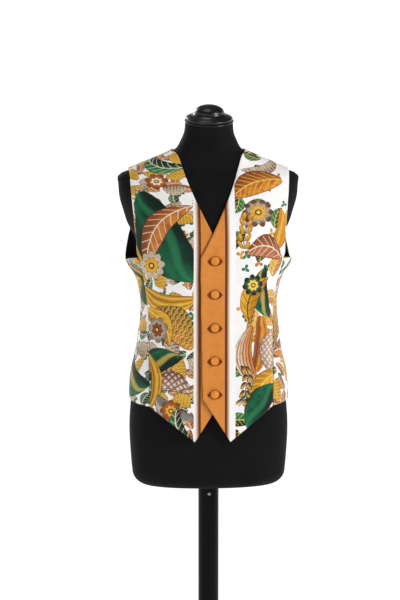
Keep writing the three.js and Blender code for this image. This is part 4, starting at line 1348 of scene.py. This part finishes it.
# Studio: boxes of light by name, place, size and power
LAMPS = [
    ("key_box", (2.6, -2.2, 3.0), 0.7, 62),
    ("fill_box", (-2.6, -3.2, 1.6), 1.2, 12),
    ("top_box", (-0.4, -0.2, 4.4), 1.2, 14),
    ("back_box", (-1.6, 2.8, 2.8), 1.2, 38),
]
SURROUND = 0.12
SWEEP_RADIUS, SWEEP_CURVE, SWEEP_TOP, SWEEP_SIDES = 11, 2.5, 6.5, 96

# The photograph's view: distance, turn, height, scale at the object's axis and where the axis lies
CAMERA_DISTANCE = 4.5
CAMERA_AZIMUTH = math.radians(-4)
CAMERA_ELEVATION = math.radians(6)
METRES_PER_PIXEL = 0.0021
AIM_HEIGHT = 1.18
AXIS_RIGHT_PIXELS = 8.5
FRAME_HEIGHT_PIXELS = 600
SENSOR = 36


def sweep_object():
    """A round pale floor that curves up into a wall and glows with painted light of its own, brighter behind
    the object.
    """
    wall = SWEEP_RADIUS + SWEEP_CURVE
    profile = [(0.01, 0.0), (4.0, 0.0), (SWEEP_RADIUS, 0.0)]
    for t in np.linspace(0.1, math.pi / 2, 14):
        profile.append((SWEEP_RADIUS + SWEEP_CURVE * math.sin(t), SWEEP_CURVE * (1 - math.cos(t))))
    profile.append((wall, SWEEP_TOP))
    turns = np.linspace(0, 2 * math.pi, SWEEP_SIDES, endpoint=False)
    points = [(r * math.cos(t), r * math.sin(t), h) for r, h in profile for t in turns]
    mesh = bpy.data.meshes.new("sweep")
    mesh.from_pydata(points, [], [tuple(f) for f in loop_faces(len(profile), SWEEP_SIDES)])
    mesh.shade_smooth()
    paint = Finish("studio_white", (0.4, 0.4, 0.4), 0.9, specular=0.05)
    place = paint.object_place()
    # Painted light: the sweep's emission, stronger behind the object, also lights the object from around and
    # below
    glow = paint.split(place)[1].ramp(-2.5, 2.5).times_add(0.3, 0.6) + paint.noise(place, 1.5) * 0.01
    mesh.materials.append(paint.shade({"Emission Strength": glow, "Emission Color": (1, 1, 1)}))
    added("sweep", mesh)


def studio():
    """The sweep, soft boxes on both sides, above and behind, and a dim surround."""
    scene = bpy.context.scene
    sweep_object()
    scene.world = bpy.data.worlds.new("studio")
    scene.world.use_nodes = True
    surround = scene.world.node_tree.nodes["Background"].inputs
    surround["Color"].default_value = (1, 1, 1, 1)
    surround["Strength"].default_value = SURROUND
    scene.view_settings.view_transform = "Standard"
    for name, place, size, power in LAMPS:
        light = bpy.data.lights.new(name, "AREA")
        light.shape, light.size, light.energy = "SQUARE", size, power
        lamp = added(name, light)
        lamp.location = place
        lamp.rotation_euler = (Vector((0, 0, 1.2)) - lamp.location).to_track_quat("-Z", "Y").to_euler()
        lamp.visible_camera = False


def camera():
    across = Vector((math.cos(CAMERA_AZIMUTH), math.sin(CAMERA_AZIMUTH), 0))
    level = Vector((math.sin(CAMERA_AZIMUTH), -math.cos(CAMERA_AZIMUTH), 0))
    away = level * math.cos(CAMERA_ELEVATION) + Vector((0, 0, math.sin(CAMERA_ELEVATION)))
    target = Vector((0, 0, AIM_HEIGHT)) - across * AXIS_RIGHT_PIXELS * METRES_PER_PIXEL
    data = bpy.data.cameras.new("photograph")
    data.sensor_width = SENSOR
    data.lens = SENSOR * CAMERA_DISTANCE / METRES_PER_PIXEL / FRAME_HEIGHT_PIXELS
    viewer = added("photograph", data)
    viewer.location = target + away * CAMERA_DISTANCE
    viewer.rotation_euler = (-away).to_track_quat("-Z", "Y").to_euler()
    bpy.context.scene.camera = viewer


# The dressed part
lining = lining_material("lining")
groups = motif_groups()
printed_left = silk_material("printed_silk_left", groups, LEFT_MOTIFS, OPEN, print_from=47)
printed_right = silk_material("printed_silk_right", groups, RIGHT_MOTIFS, DENSE, print_from=39)
back_silks = []
for zone in range(4):
    silk = silk_material(f"printed_silk_back_{zone + 1}", groups, motifs_in(BACK_MOTIFS, zone), DENSE)
    back_silks += [silk, lining]
cover = plain_silk_material("button_silk", srgb(236, 148, 58))
thread = plain_silk_material("buttonhole_thread", srgb(184, 98, 26))
# A plain dark brown that stands as painted shade inside the buttonholes' slits
shadow = plain_silk_material("buttonhole_painted_shade", srgb(124, 56, 6))

front_left = front_object("front_left_cloth", 1, [printed_left, lining])
front_right = front_object("front_right_cloth", -1, [printed_right, lining])
back = back_object("back_cloth", back_silks)
for piece, node in ((front_left, "vest_front_left"), (front_right, "vest_front_right"), (back, "vest_back")):
    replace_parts(piece, node)
button_objects(cover, thread, shadow)

torso_object(jersey_material("jersey"))
neck_objects(gloss_material("cap_gloss"))
stand_objects(painted_material("stand_paint"), steel_material("screw_steel_finish"))

camera()
studio()
